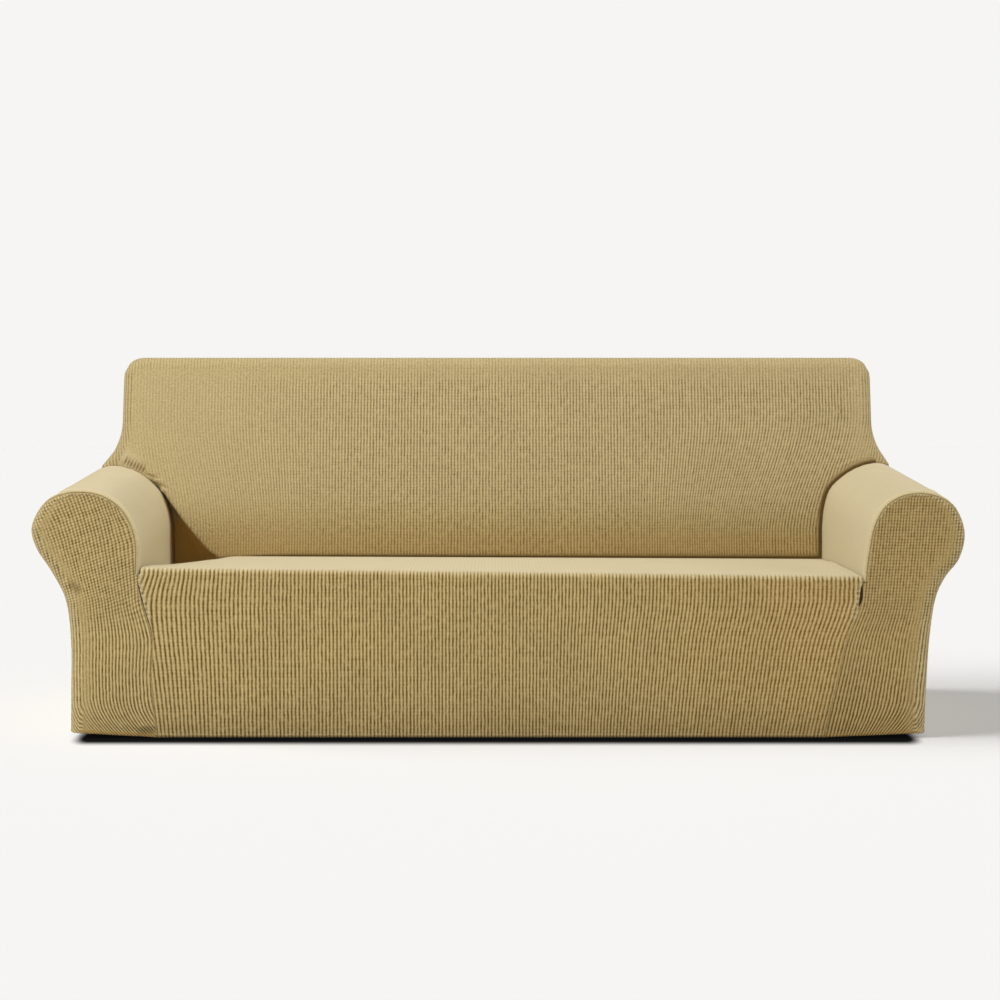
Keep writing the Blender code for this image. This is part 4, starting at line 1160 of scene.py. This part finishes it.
def make_back_inside(material, sizes):
    shares = np.interp(range(FACE_ROWS + 1), [0, LOW_FACE_ROWS, FACE_ROWS],
                       [0, LOW_FACE_SHARE, 1])

    # The upright ribs, from the end of the deep fold to the right arm.
    step = sizes.rib_pitch / RIB_STEPS
    right_x = face_foot(RIGHT, np.array([0.0]))[0, 0] - SEAT_MARGIN
    foot_z = SEAT_HEIGHT + FACE_RISE
    first, last = (x - back_lean(x, foot_z) for x in (-RECESS_EDGE[0][0], right_x))
    ribs = np.arange(math.ceil(first / step) + 1, int(last / step)) * step
    ribs = np.concatenate([[first], ribs, [last]])
    beginning = [first, first + FOLD_END_REACH]
    z_foot = np.interp(ribs, beginning, [RECESS_EDGE[0][1], foot_z])
    z = mix(z_foot[None, :], FACE_TOP, shares[:, None])
    middle = np.stack([rib_line(ribs[None, :], z), z], -1)
    seat_x = middle[0, :, 0] + np.interp(ribs, beginning, [-CLOTH, 0.0])
    middle_feet = seat_foot(seat_x, middle[0], False)

    # Over the right arm.
    right_at = np.linspace(0, TURN_START, ARM_ZONE_STEPS + 1)
    right_feet = arm_foot(RIGHT, right_at)
    feet = np.concatenate([[middle[0, -1]], face_foot(RIGHT, right_at)])
    right, right_top, right_side = corner_zone(RIGHT, feet, middle[:, -1], shares)

    # Over the deep fold and the left arm, worked out on the +X side.
    left_at = np.interp(range(LEFT_STEPS[-1] + 1), LEFT_STEPS, LEFT_ROWS_AT)
    fold_shares = np.linspace(0, RECESS_SHARES[0], FOLD_ZONE_STEPS + 1)[:-1]
    wall = float(arm_section(LEFT, 0, SECTION_DEPTH)[0]) - SEAM_LIFT
    turned = RECESS_END + RECESS_TURN
    fold_x = np.interp(fold_shares, [0, *RECESS_SHARES[::-1]],
                       [RECESS_END, turned, (wall + turned) / 2, wall])
    fold_flat = recess_edge(fold_shares)
    fold_feet = seat_foot(-fold_x[1:], (fold_flat * MIRROR)[1:], True)
    left_feet = arm_foot(LEFT, left_at)
    inner_line = middle[:, 0] * MIRROR
    feet = np.concatenate([inner_line[:1], fold_flat[1:], face_foot(LEFT, left_at)])
    left, left_top, left_side = corner_zone(LEFT, feet, inner_line, shares)
    left, left_top, left_side = left * MIRROR, left_top * MIRROR, left_side * MIRROR

    # All columns from left to right, and the rim up the left side, over the top and down the right.
    flats = np.concatenate([left[:, :0:-1], middle, right[:, 1:]], axis=1)
    foot = np.concatenate([left_feet[:, ::-1], fold_feet[:, ::-1], middle_feet, right_feet], axis=1)
    face = on_face(flats)
    foot[-1] = face[0]
    controls = np.concatenate([foot, face[1:2]])
    foot_rows = spline(controls, np.array(FOOT_PLACES))
    sheet = np.concatenate([foot_rows, face[1:]])
    upward = np.tile([0.0, 1.0], (len(ribs), 1))
    top_outs = np.concatenate([left_top[:0:-1], upward, right_top[1:]])
    rim_left = rim_side(LEFT, controls[:, 0], face[:, 0], left_side)
    rim_right = rim_side(RIGHT, controls[:, -1], face[:, -1], right_side)
    rim_top = rim_points(face[-1], top_outs)
    rim = np.concatenate([rim_left[:, :-1], rim_top, rim_right[:, :-1][:, ::-1]], axis=1)
    sides = [np.concatenate([np.repeat(outs[:1], len(FOOT_PLACES) - 1, axis=0), outs])[:-1]
             for outs in (left_side, right_side)]
    rim_outs = np.concatenate([sides[0], top_outs, sides[1][::-1]])
    grids = [face_grid(sheet, foot_rows[-1, :, 2]), rim_grid(rim, rim_outs)]
    return sew_panel("back_inside_cloth", grids, material, False, sizes)


# ---- Outside back ----

OUTSIDE_ROWS = 38
OUTSIDE_CORNER_ROWS = 8
OUTSIDE_REACH = 1.12
OUTSIDE_RIB, OUTSIDE_STITCHES, OUTSIDE_TONE = 0.75, 0.3, 0.1
REAR_ARM_POINTS, REAR_SIDE_POINTS = 160, 60


def rear_outline(arm):
    """The outside back's edge at one side, from the hem to the top corner, as (x, z)."""
    at = np.linspace(LAST_ROW, TURN_END, REAR_ARM_POINTS)
    depth = arm_end(arm, at)
    arm_part = lifted(arm, at, depth, -rear_inset(arm, at, depth) - GAP)
    foot = arm_section(arm, TURN_START, SECTION_DEPTH)[..., 1] + SIDE_RISE
    side, out = side_outline(np.linspace(foot, BACK_TOP - BACK_CORNER, REAR_SIDE_POINTS))
    corner, corner_out = corner_outline(np.linspace(0, 90, REAR_SIDE_POINTS)[1:])
    side = side - out * (REAR_ROUND + GAP)
    corner = corner - corner_out * (REAR_ROUND + GAP)
    line = np.concatenate([arm_part, side, corner])
    return line[np.concatenate([[True], np.diff(line[:, 1]) > 0])]


def make_back_outside(material, sizes):
    step = sizes.rib_pitch / RIB_STEPS
    count = int(OUTSIDE_REACH / step)
    ribs = (np.arange(-count, count + 1) * step)[None, :]
    left_line, right_line = rear_outline(LEFT), rear_outline(RIGHT)
    low = max(left_line[0, 1], right_line[0, 1])
    top = min(left_line[-1, 1], right_line[-1, 1])
    bend = BACK_TOP - BACK_CORNER
    angle = np.radians(np.linspace(0, 90, OUTSIDE_CORNER_ROWS + 1)[1:])
    z = np.concatenate([[low + rise for rise in HEM_RISES[:-1]],
                        np.linspace(low + HEM_RISES[-1], bend, OUTSIDE_ROWS),
                        mix(bend, top, np.sin(angle))])[:, None]
    left, right = (np.interp(z, line[:, 1], line[:, 0]) for line in (left_line, right_line))
    x = np.clip(ribs, -left, right)
    seam = np.minimum(np.minimum(x + left, right - x), top - z)
    hem = hem_share(z - low)
    rib = hemmed_rib(OUTSIDE_RIB * seam_rib(seam, WIDE_RIB_FADE), hem)
    cloth = grid(place(x, DEPTH, z), x, z, rib, OUTSIDE_STITCHES, OUTSIDE_TONE, 0.0,
                 hemmed_lift(seam, hem))
    return sew_panel("back_outside_cloth", [cloth], material, True, sizes)


# ---- Materials ----


def linear(code):
    """An sRGB hex colour as linear red, green and blue."""
    values = [int(code[start:start + 2], 16) / 255 for start in (0, 2, 4)]
    return tuple(v / 12.92 if v <= 0.04045 else ((v + 0.055) / 1.055) ** 2.4 for v in values)


def add_node(tree, kind, inputs=None, **settings):
    """Adds a node with its settings, and sets each named input to a value or a socket."""
    node = tree.nodes.new(kind)
    for name, value in settings.items():
        setattr(node, name, value)
    for name, value in (inputs or {}).items():
        if isinstance(value, bpy.types.NodeSocket):
            tree.links.new(value, node.inputs[name])
        else:
            node.inputs[name].default_value = value
    return node


def math_node(tree, operation, *values):
    """One step of arithmetic on sockets and numbers."""
    inputs = dict(enumerate(values))
    return add_node(tree, "ShaderNodeMath", inputs, operation=operation).outputs[0]


def parts_of(tree, vector):
    return add_node(tree, "ShaderNodeSeparateXYZ", {"Vector": vector}).outputs


WARP_SCALE, WARP_ACROSS, WARP_ALONG = 38.0, 0.0026, 0.0050
BRIDGE, ROW_PIT = 0.30, 0.52
GRAIN_SCALE, SPECKLE_SCALE, MOTTLE_SCALE = 330.0, 210.0, 120.0
PATCH_SCALE, BROAD_SCALE = 62.0, 7.5
PATCH_LEAST, PATCH_MOST, SPECKLE = 0.68, 1.28, 0.60
GRAIN, MOTTLE, BROAD = 0.16, 0.07, 0.05
GRAIN_ON_RIBS = 0.75


def knit_material(name, sizes, colours):
    """Straw-coloured polyester and elastane stretch knit, ribbed on the machine: matte, fuzzy."""
    material = bpy.data.materials.new(name)
    material.use_nodes = True
    tree = material.node_tree
    tree.nodes.clear()
    sum_node = partial(math_node, tree)

    def noise(vector, scale, detail):
        return add_node(tree, "ShaderNodeTexNoise", {"Vector": vector, "Scale": scale,
                                                     "Detail": detail, "Roughness": 0.6})

    def between(value, low, high):
        """A noise's middle range, spread from low to high."""
        return add_node(tree, "ShaderNodeMapRange", {
            "Value": value, "From Min": 0.3, "From Max": 0.7, "To Min": low,
            "To Max": high}).outputs[0]

    def blend(share, low, high):
        node = add_node(tree, "ShaderNodeMix", {"Factor": share}, data_type="RGBA")
        for socket, value in ((node.inputs["A"], low), (node.inputs["B"], high)):
            if isinstance(value, bpy.types.NodeSocket):
                tree.links.new(value, socket)
            else:
                socket.default_value = (*value, 1)
        return node.outputs["Result"]

    cloth = add_node(tree, "ShaderNodeAttribute", attribute_name="cloth")
    knit = add_node(tree, "ShaderNodeAttribute", attribute_name="knit")
    across, along, shade = parts_of(tree, cloth.outputs["Vector"])
    rib, row, stretch = parts_of(tree, knit.outputs["Vector"])
    flat = add_node(tree, "ShaderNodeCombineXYZ", {"X": across, "Y": along}).outputs[0]

    # The stitches wander a little, as knitted loops do.
    wander = noise(flat, WARP_SCALE, 1.0).outputs["Color"]
    moved = add_node(tree, "ShaderNodeVectorMath", {
        0: wander, 1: (WARP_ACROSS, WARP_ALONG, 0), 2: (-WARP_ACROSS / 2, -WARP_ALONG / 2, 0)},
        operation="MULTIPLY_ADD")
    loops = add_node(tree, "ShaderNodeVectorMath", {0: flat, 1: moved.outputs[0]}, operation="ADD")
    loop_across, loop_along, _ = parts_of(tree, loops.outputs[0])

    # Ribs with grooves between them darkened by painted shade, bridged by rows of stitches where
    # the cloth shows those, whose pits take the same painted shade.
    wave = sum_node("COSINE", sum_node("MULTIPLY", loop_across, 2 * math.pi / sizes.rib_pitch))
    groove = sum_node("POWER", sum_node("MULTIPLY_ADD", wave, -0.5, 0.5), GROOVE_POWER)
    turns = sum_node("MULTIPLY", loop_along, 2 * math.pi / sizes.course_pitch)
    row_wave = sum_node("COSINE", turns)
    between_rows = sum_node("MULTIPLY_ADD", row_wave, -0.5, 0.5)
    bridged = sum_node("MULTIPLY", sum_node("SUBTRACT", 1.0, between_rows),
                       sum_node("MULTIPLY", row, BRIDGE))
    groove_left = sum_node("MULTIPLY", groove, sum_node("SUBTRACT", 1.0, bridged))
    row_line = sum_node("MULTIPLY", sum_node("POWER", between_rows, 2.0),
                        sum_node("MULTIPLY", row, ROW_PIT))
    row_left = sum_node("MULTIPLY", row_line, sum_node("SUBTRACT", 1.0, groove))
    pit = sum_node("ADD", groove_left, row_left)
    patch = between(noise(flat, PATCH_SCALE, 2.0).outputs["Fac"], PATCH_LEAST, PATCH_MOST)
    ribbed_depth = sum_node("MULTIPLY", sum_node("MULTIPLY", pit, rib), patch)
    slack = sum_node("MINIMUM", sum_node("SUBTRACT", 1.0, stretch), 1.0)
    unribbed = sum_node("MULTIPLY", sum_node("SUBTRACT", 1.0, rib), slack)
    speckle = between(noise(flat, SPECKLE_SCALE, 2.0).outputs["Fac"], 0.0, SPECKLE)
    depth = sum_node("MULTIPLY_ADD", unribbed, speckle, ribbed_depth)

    # Fine grain from the fuzzy yarn, strongest where the ribs are, and the stretch's unevenness.
    fuzz = noise(flat, GRAIN_SCALE, 2.0).outputs["Fac"]
    ribbed = sum_node("MULTIPLY_ADD", rib, GRAIN_ON_RIBS, 1 - GRAIN_ON_RIBS)
    mottle = noise(flat, MOTTLE_SCALE, 1.0).outputs["Fac"]
    grain = sum_node("ADD", between(fuzz, -GRAIN, GRAIN), between(mottle, -MOTTLE, MOTTLE))
    broad = between(noise(flat, BROAD_SCALE, 3.0).outputs["Fac"], -BROAD, BROAD)
    tone = sum_node("MULTIPLY_ADD", sum_node("ADD", grain, broad), ribbed, 1.0)

    # Pale where the cloth is pulled smooth, partly as painted sheen; painted shade in warm brown
    # deep in a fold and nearly black in a crease.
    yarn = blend(stretch, tuple(colours.yarn), tuple(colours.stretched))
    ribs = blend(depth, yarn, tuple(colours.groove))
    folded = blend(sum_node("MULTIPLY", stretch, -1.0), ribs, tuple(colours.fold))
    shade_painted = blend(shade, folded, tuple(colours.groove))
    coloured = add_node(tree, "ShaderNodeVectorMath", {0: shade_painted, "Scale": tone}, operation="SCALE")

    height = sum_node("MULTIPLY_ADD", depth, -1.0, sum_node("MULTIPLY", fuzz, ribbed))
    bump = add_node(tree, "ShaderNodeBump", {"Height": height, "Strength": 0.6, "Distance": 0.0012})
    shader = add_node(tree, "ShaderNodeBsdfPrincipled", {
        "Base Color": coloured.outputs["Vector"], "Normal": bump.outputs["Normal"],
        "Roughness": 0.9, "Specular IOR Level": 0.2, "Sheen Weight": 0.22,
        "Sheen Roughness": 0.5, "Sheen Tint": (*linear("FFF4DC"), 1)})
    add_node(tree, "ShaderNodeOutputMaterial", {"Surface": shader.outputs[0]})
    return material


# ---- Stage ----

PHOTO_SIZE = 1000
FOCAL_PIXELS = 2125
CENTRE_PIXEL = 497
CAMERA_DISTANCE = 5.0
CAMERA_HEIGHT = 0.80
CAMERA_TILT = 2.7
SENSOR = 36.0
BACKDROP = "F6F5F3"
AMBIENT = 0.14

# The floor, and the contact shadow painted under the hem: how far it reaches and where it fades.
FLOOR_REACH = 30.0
FLOOR_WHITE, CONTACT_SHADOW_COLOUR = (0.62, 0.615, 0.605, 1), (0.005, 0.005, 0.005, 1)
CONTACT_SIDE, CONTACT_FRONT = 0.055, 0.128
CONTACT_DARK, CONTACT_CLEAR = 0.40, 1.0
FOOT_HALF_WIDTH, FOOT_HALF_DEPTH = 0.955, 0.438

# Suns are aimed by three turns, the softbox on the left by its place; a size of 0 casts no shadow.
Lamp = namedtuple("Lamp", "name kind aim energy size floor")
LAMPS = (
    Lamp("overhead_softbox", "SUN", (10, 0, 0), 2.12, 50, "EXCLUDE"),
    Lamp("right_reflector", "SUN", (70, 0, 75), 1.30, 50, "EXCLUDE"),
    Lamp("left_reflector", "SUN", (70, 0, -75), 0.95, 50, "EXCLUDE"),
    Lamp("left_softbox", "AREA", (-2.4, -3.2, 2.3), 64.0, 1.5, "EXCLUDE"),
    Lamp("front_fill", "SUN", (78, 0, -20), 0.50, 0, "EXCLUDE"),
    Lamp("side_light_on_floor", "SUN", (62, 0, -88), 5.15, 44, "INCLUDE"),
    Lamp("fill_on_floor", "SUN", (0, 0, 0), 1.80, 0, "INCLUDE"),
)
AIM_AT = Vector((0, 0, 0.4))


def floor_material():
    """Matte white studio paint, with a contact shadow painted close to the hem where hardly any
    light gets in.
    """
    paint = bpy.data.materials.new("studio_floor_painted_contact_shadow")
    paint.use_nodes = True
    tree = paint.node_tree
    shader = tree.nodes["Principled BSDF"]
    sum_node = partial(math_node, tree)
    spot = parts_of(tree, add_node(tree, "ShaderNodeTexCoord").outputs["Object"])
    squares = []
    for axis, half, reach in (("X", FOOT_HALF_WIDTH, CONTACT_SIDE),
                              ("Y", FOOT_HALF_DEPTH, CONTACT_FRONT)):
        away = sum_node("SUBTRACT", sum_node("ABSOLUTE", spot[axis]), half)
        share = sum_node("DIVIDE", sum_node("MAXIMUM", away, 0.0), reach)
        squares.append(sum_node("POWER", share, 2.0))
    light = add_node(tree, "ShaderNodeMapRange", {
        "Value": sum_node("SQRT", sum_node("ADD", *squares)), "From Min": CONTACT_DARK,
        "From Max": CONTACT_CLEAR}, interpolation_type="SMOOTHSTEP")
    colour = add_node(tree, "ShaderNodeMix", {"Factor": light.outputs[0], "A": CONTACT_SHADOW_COLOUR,
                                              "B": FLOOR_WHITE}, data_type="RGBA")
    tree.links.new(colour.outputs["Result"], shader.inputs["Base Color"])
    shader.inputs["Roughness"].default_value = 1.0
    shader.inputs["Specular IOR Level"].default_value = 0.0
    return paint


def make_floor(scene):
    mesh = bpy.data.meshes.new("studio_floor")
    far = FLOOR_REACH
    mesh.from_pydata([(-far, -far, 0), (far, -far, 0), (far, far, 0), (-far, far, 0)], [],
                     [(0, 1, 2, 3)])
    mesh.materials.append(floor_material())
    floor = bpy.data.objects.new("studio_floor", mesh)
    scene.collection.objects.link(floor)
    return floor


def make_world(scene):
    """An even pale backdrop behind the cover, with a weaker light from all round."""
    world = bpy.data.worlds.new("studio")
    scene.world = world
    world.use_nodes = True
    tree = world.node_tree
    tree.nodes.clear()
    seen = add_node(tree, "ShaderNodeBackground", {"Color": (*linear(BACKDROP), 1),
                                                   "Strength": 1.0})
    lit = add_node(tree, "ShaderNodeBackground", {"Color": (1, 1, 1, 1), "Strength": AMBIENT})
    path = add_node(tree, "ShaderNodeLightPath")
    mixed = add_node(tree, "ShaderNodeMixShader", {0: path.outputs["Is Camera Ray"],
                                                   1: lit.outputs[0], 2: seen.outputs[0]})
    add_node(tree, "ShaderNodeOutputWorld", {"Surface": mixed.outputs[0]})


def hang_lamp(scene, lamp, floor):
    """One lamp, which lights only the floor, or all but the floor."""
    light = bpy.data.lights.new(lamp.name, lamp.kind)
    light.energy = lamp.energy
    stand = bpy.data.objects.new(lamp.name, light)
    if lamp.kind == "SUN":
        light.angle = math.radians(lamp.size)
        light.use_shadow = lamp.size > 0
        stand.rotation_euler = Euler([math.radians(turn) for turn in lamp.aim], "XYZ")
    else:
        light.shape = "DISK"
        light.size = lamp.size
        stand.location = lamp.aim
        way = AIM_AT - Vector(lamp.aim)
        stand.rotation_euler = way.to_track_quat("-Z", "Y").to_euler()
    scene.collection.objects.link(stand)
    lit_things = bpy.data.collections.new(lamp.name + "_on_floor")
    lit_things.objects.link(floor)
    lit_things.collection_objects[0].light_linking.link_state = lamp.floor
    stand.light_linking.receiver_collection = lit_things


def set_camera(scene):
    lens = bpy.data.cameras.new("camera")
    lens.sensor_width = SENSOR
    lens.lens = FOCAL_PIXELS / PHOTO_SIZE * SENSOR
    lens.shift_x = (PHOTO_SIZE / 2 - CENTRE_PIXEL) / PHOTO_SIZE
    camera = bpy.data.objects.new("camera", lens)
    camera.location = (0, FRONT_Y - CAMERA_DISTANCE, CAMERA_HEIGHT)
    camera.rotation_euler = (math.radians(90 - CAMERA_TILT), 0, 0)
    scene.collection.objects.link(camera)
    scene.camera = camera


def make_stage():
    scene = bpy.context.scene
    scene.view_settings.view_transform = "Standard"
    floor = make_floor(scene)
    make_world(scene)
    for lamp in LAMPS:
        hang_lamp(scene, lamp, floor)
    set_camera(scene)


# ---- The add-on ----


class SlipcoverSizes(bpy.types.PropertyGroup):
    """Sizes of the knit that a maker would choose."""

    rib_pitch: FloatProperty(name="Rib pitch", description="From one rib to the next",
                             default=0.0083, unit="LENGTH")
    course_pitch: FloatProperty(name="Row pitch", description="From one raised row to the next",
                                default=0.0083, unit="LENGTH")
    rib_depth: FloatProperty(name="Rib depth", description="Depth of the grooves between ribs",
                             default=0.0017, unit="LENGTH")


class SlipcoverColours(bpy.types.PropertyGroup):
    """Colours of the yarn, and of the shade painted in its grooves, creases and folds."""

    yarn: FloatVectorProperty(name="Yarn", description="The ribs' colour", subtype="COLOR",
                              default=linear("B4A06F"))
    # The groove colour is painted shade: the yarn as it looks in the shade of grooves, pits and
    # creases. It also gives the smooth cloth its random dark specks.
    groove: FloatVectorProperty(name="Groove", description="Colour between the ribs",
                                subtype="COLOR", default=linear("553E06"))
    # The fold colour is painted shade in warm brown: deep in the fold beside the left arm, at the
    # back's foot, over the apron and over the right arm front. The turned hem takes it as a golden
    # tint.
    fold: FloatVectorProperty(name="Fold", description="Deep in a fold, where the yarn glows brown",
                              subtype="COLOR", default=linear("986C1E"))
    # The stretched colour is the smooth cloth's own paleness, and partly painted sheen from the top
    # light on the deck and the arms.
    stretched: FloatVectorProperty(name="Stretched", description="Where the cloth is pulled smooth",
                                   subtype="COLOR", default=linear("BDAF8A"))


def finish_panel(panel, node):
    """Attaches the panel to the cover's root body and hides its CAD part."""
    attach(panel, "root")
    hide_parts(node)


def knit_of(context):
    """The knit that all the panels share, made when the first of them is sewn."""
    name = "ribbed_straw_stretch_knit"
    found = bpy.data.materials.get(name)
    if found:
        return found
    return knit_material(name, context.scene.slipcover_sizes, context.scene.slipcover_colours)


class SLIPCOVER_OT_back_inside(bpy.types.Operator):
    """Sews the inside back with its rim, gathers and the deep fold beside the left arm."""

    bl_idname = "slipcover.back_inside"
    bl_label = "Inside back"

    def execute(self, context):
        panel = make_back_inside(knit_of(context), context.scene.slipcover_sizes)
        finish_panel(panel, "back_inside")
        return {"FINISHED"}


class SLIPCOVER_OT_back_outside(bpy.types.Operator):
    """Sews the outside back down to the hem."""

    bl_idname = "slipcover.back_outside"
    bl_label = "Outside back"

    def execute(self, context):
        panel = make_back_outside(knit_of(context), context.scene.slipcover_sizes)
        finish_panel(panel, "back_outside")
        return {"FINISHED"}


class SLIPCOVER_OT_seat_front(bpy.types.Operator):
    """Sews the seat deck and the front apron in one length."""

    bl_idname = "slipcover.seat_front"
    bl_label = "Seat and apron"

    def execute(self, context):
        panel = make_seat_front(knit_of(context), context.scene.slipcover_sizes)
        finish_panel(panel, "seat_front")
        return {"FINISHED"}


class SLIPCOVER_OT_arms(bpy.types.Operator):
    """Sews both arms, from the seat up over the roll and down to the hem."""

    bl_idname = "slipcover.arms"
    bl_label = "Arms"

    def execute(self, context):
        for arm in (LEFT, RIGHT):
            panel = make_arm(arm, knit_of(context), context.scene.slipcover_sizes)
            finish_panel(panel, "arm_" + arm.name)
        return {"FINISHED"}


class SLIPCOVER_OT_arm_fronts(bpy.types.Operator):
    """Sews both scroll-shaped arm fronts."""

    bl_idname = "slipcover.arm_fronts"
    bl_label = "Arm fronts"

    def execute(self, context):
        for arm in (LEFT, RIGHT):
            panel = make_arm_front(arm, knit_of(context), context.scene.slipcover_sizes)
            finish_panel(panel, "arm_front_" + arm.name)
        return {"FINISHED"}


class SLIPCOVER_OT_stage(bpy.types.Operator):
    """Sets the pale floor, the soft light and the camera."""

    bl_idname = "slipcover.stage"
    bl_label = "Studio stage"

    def execute(self, context):
        make_stage()
        return {"FINISHED"}


class SLIPCOVER_PT_panel(bpy.types.Panel):
    bl_label = "Slipcover"
    bl_idname = "SLIPCOVER_PT_panel"
    bl_space_type = "VIEW_3D"
    bl_region_type = "UI"
    bl_category = "Slipcover"

    def draw(self, context):
        for group in (context.scene.slipcover_sizes, context.scene.slipcover_colours):
            for name in group.__annotations__:
                self.layout.prop(group, name)
        for operator in OPERATORS:
            self.layout.operator(operator.bl_idname)


OPERATORS = (
    SLIPCOVER_OT_arm_fronts,
    SLIPCOVER_OT_arms,
    SLIPCOVER_OT_seat_front,
    SLIPCOVER_OT_back_inside,
    SLIPCOVER_OT_back_outside,
    SLIPCOVER_OT_stage,
)
CLASSES = (SlipcoverSizes, SlipcoverColours, *OPERATORS, SLIPCOVER_PT_panel)


def register():
    for one in CLASSES:
        bpy.utils.register_class(one)
    bpy.types.Scene.slipcover_sizes = PointerProperty(type=SlipcoverSizes)
    bpy.types.Scene.slipcover_colours = PointerProperty(type=SlipcoverColours)


def unregister():
    del bpy.types.Scene.slipcover_sizes
    del bpy.types.Scene.slipcover_colours
    for one in reversed(CLASSES):
        bpy.utils.unregister_class(one)


def main():
    register()
    bpy.ops.slipcover.arm_fronts()
    bpy.ops.slipcover.arms()
    bpy.ops.slipcover.seat_front()
    bpy.ops.slipcover.back_inside()
    bpy.ops.slipcover.back_outside()
    bpy.ops.slipcover.stage()


if __name__ == "__main__":
    main()
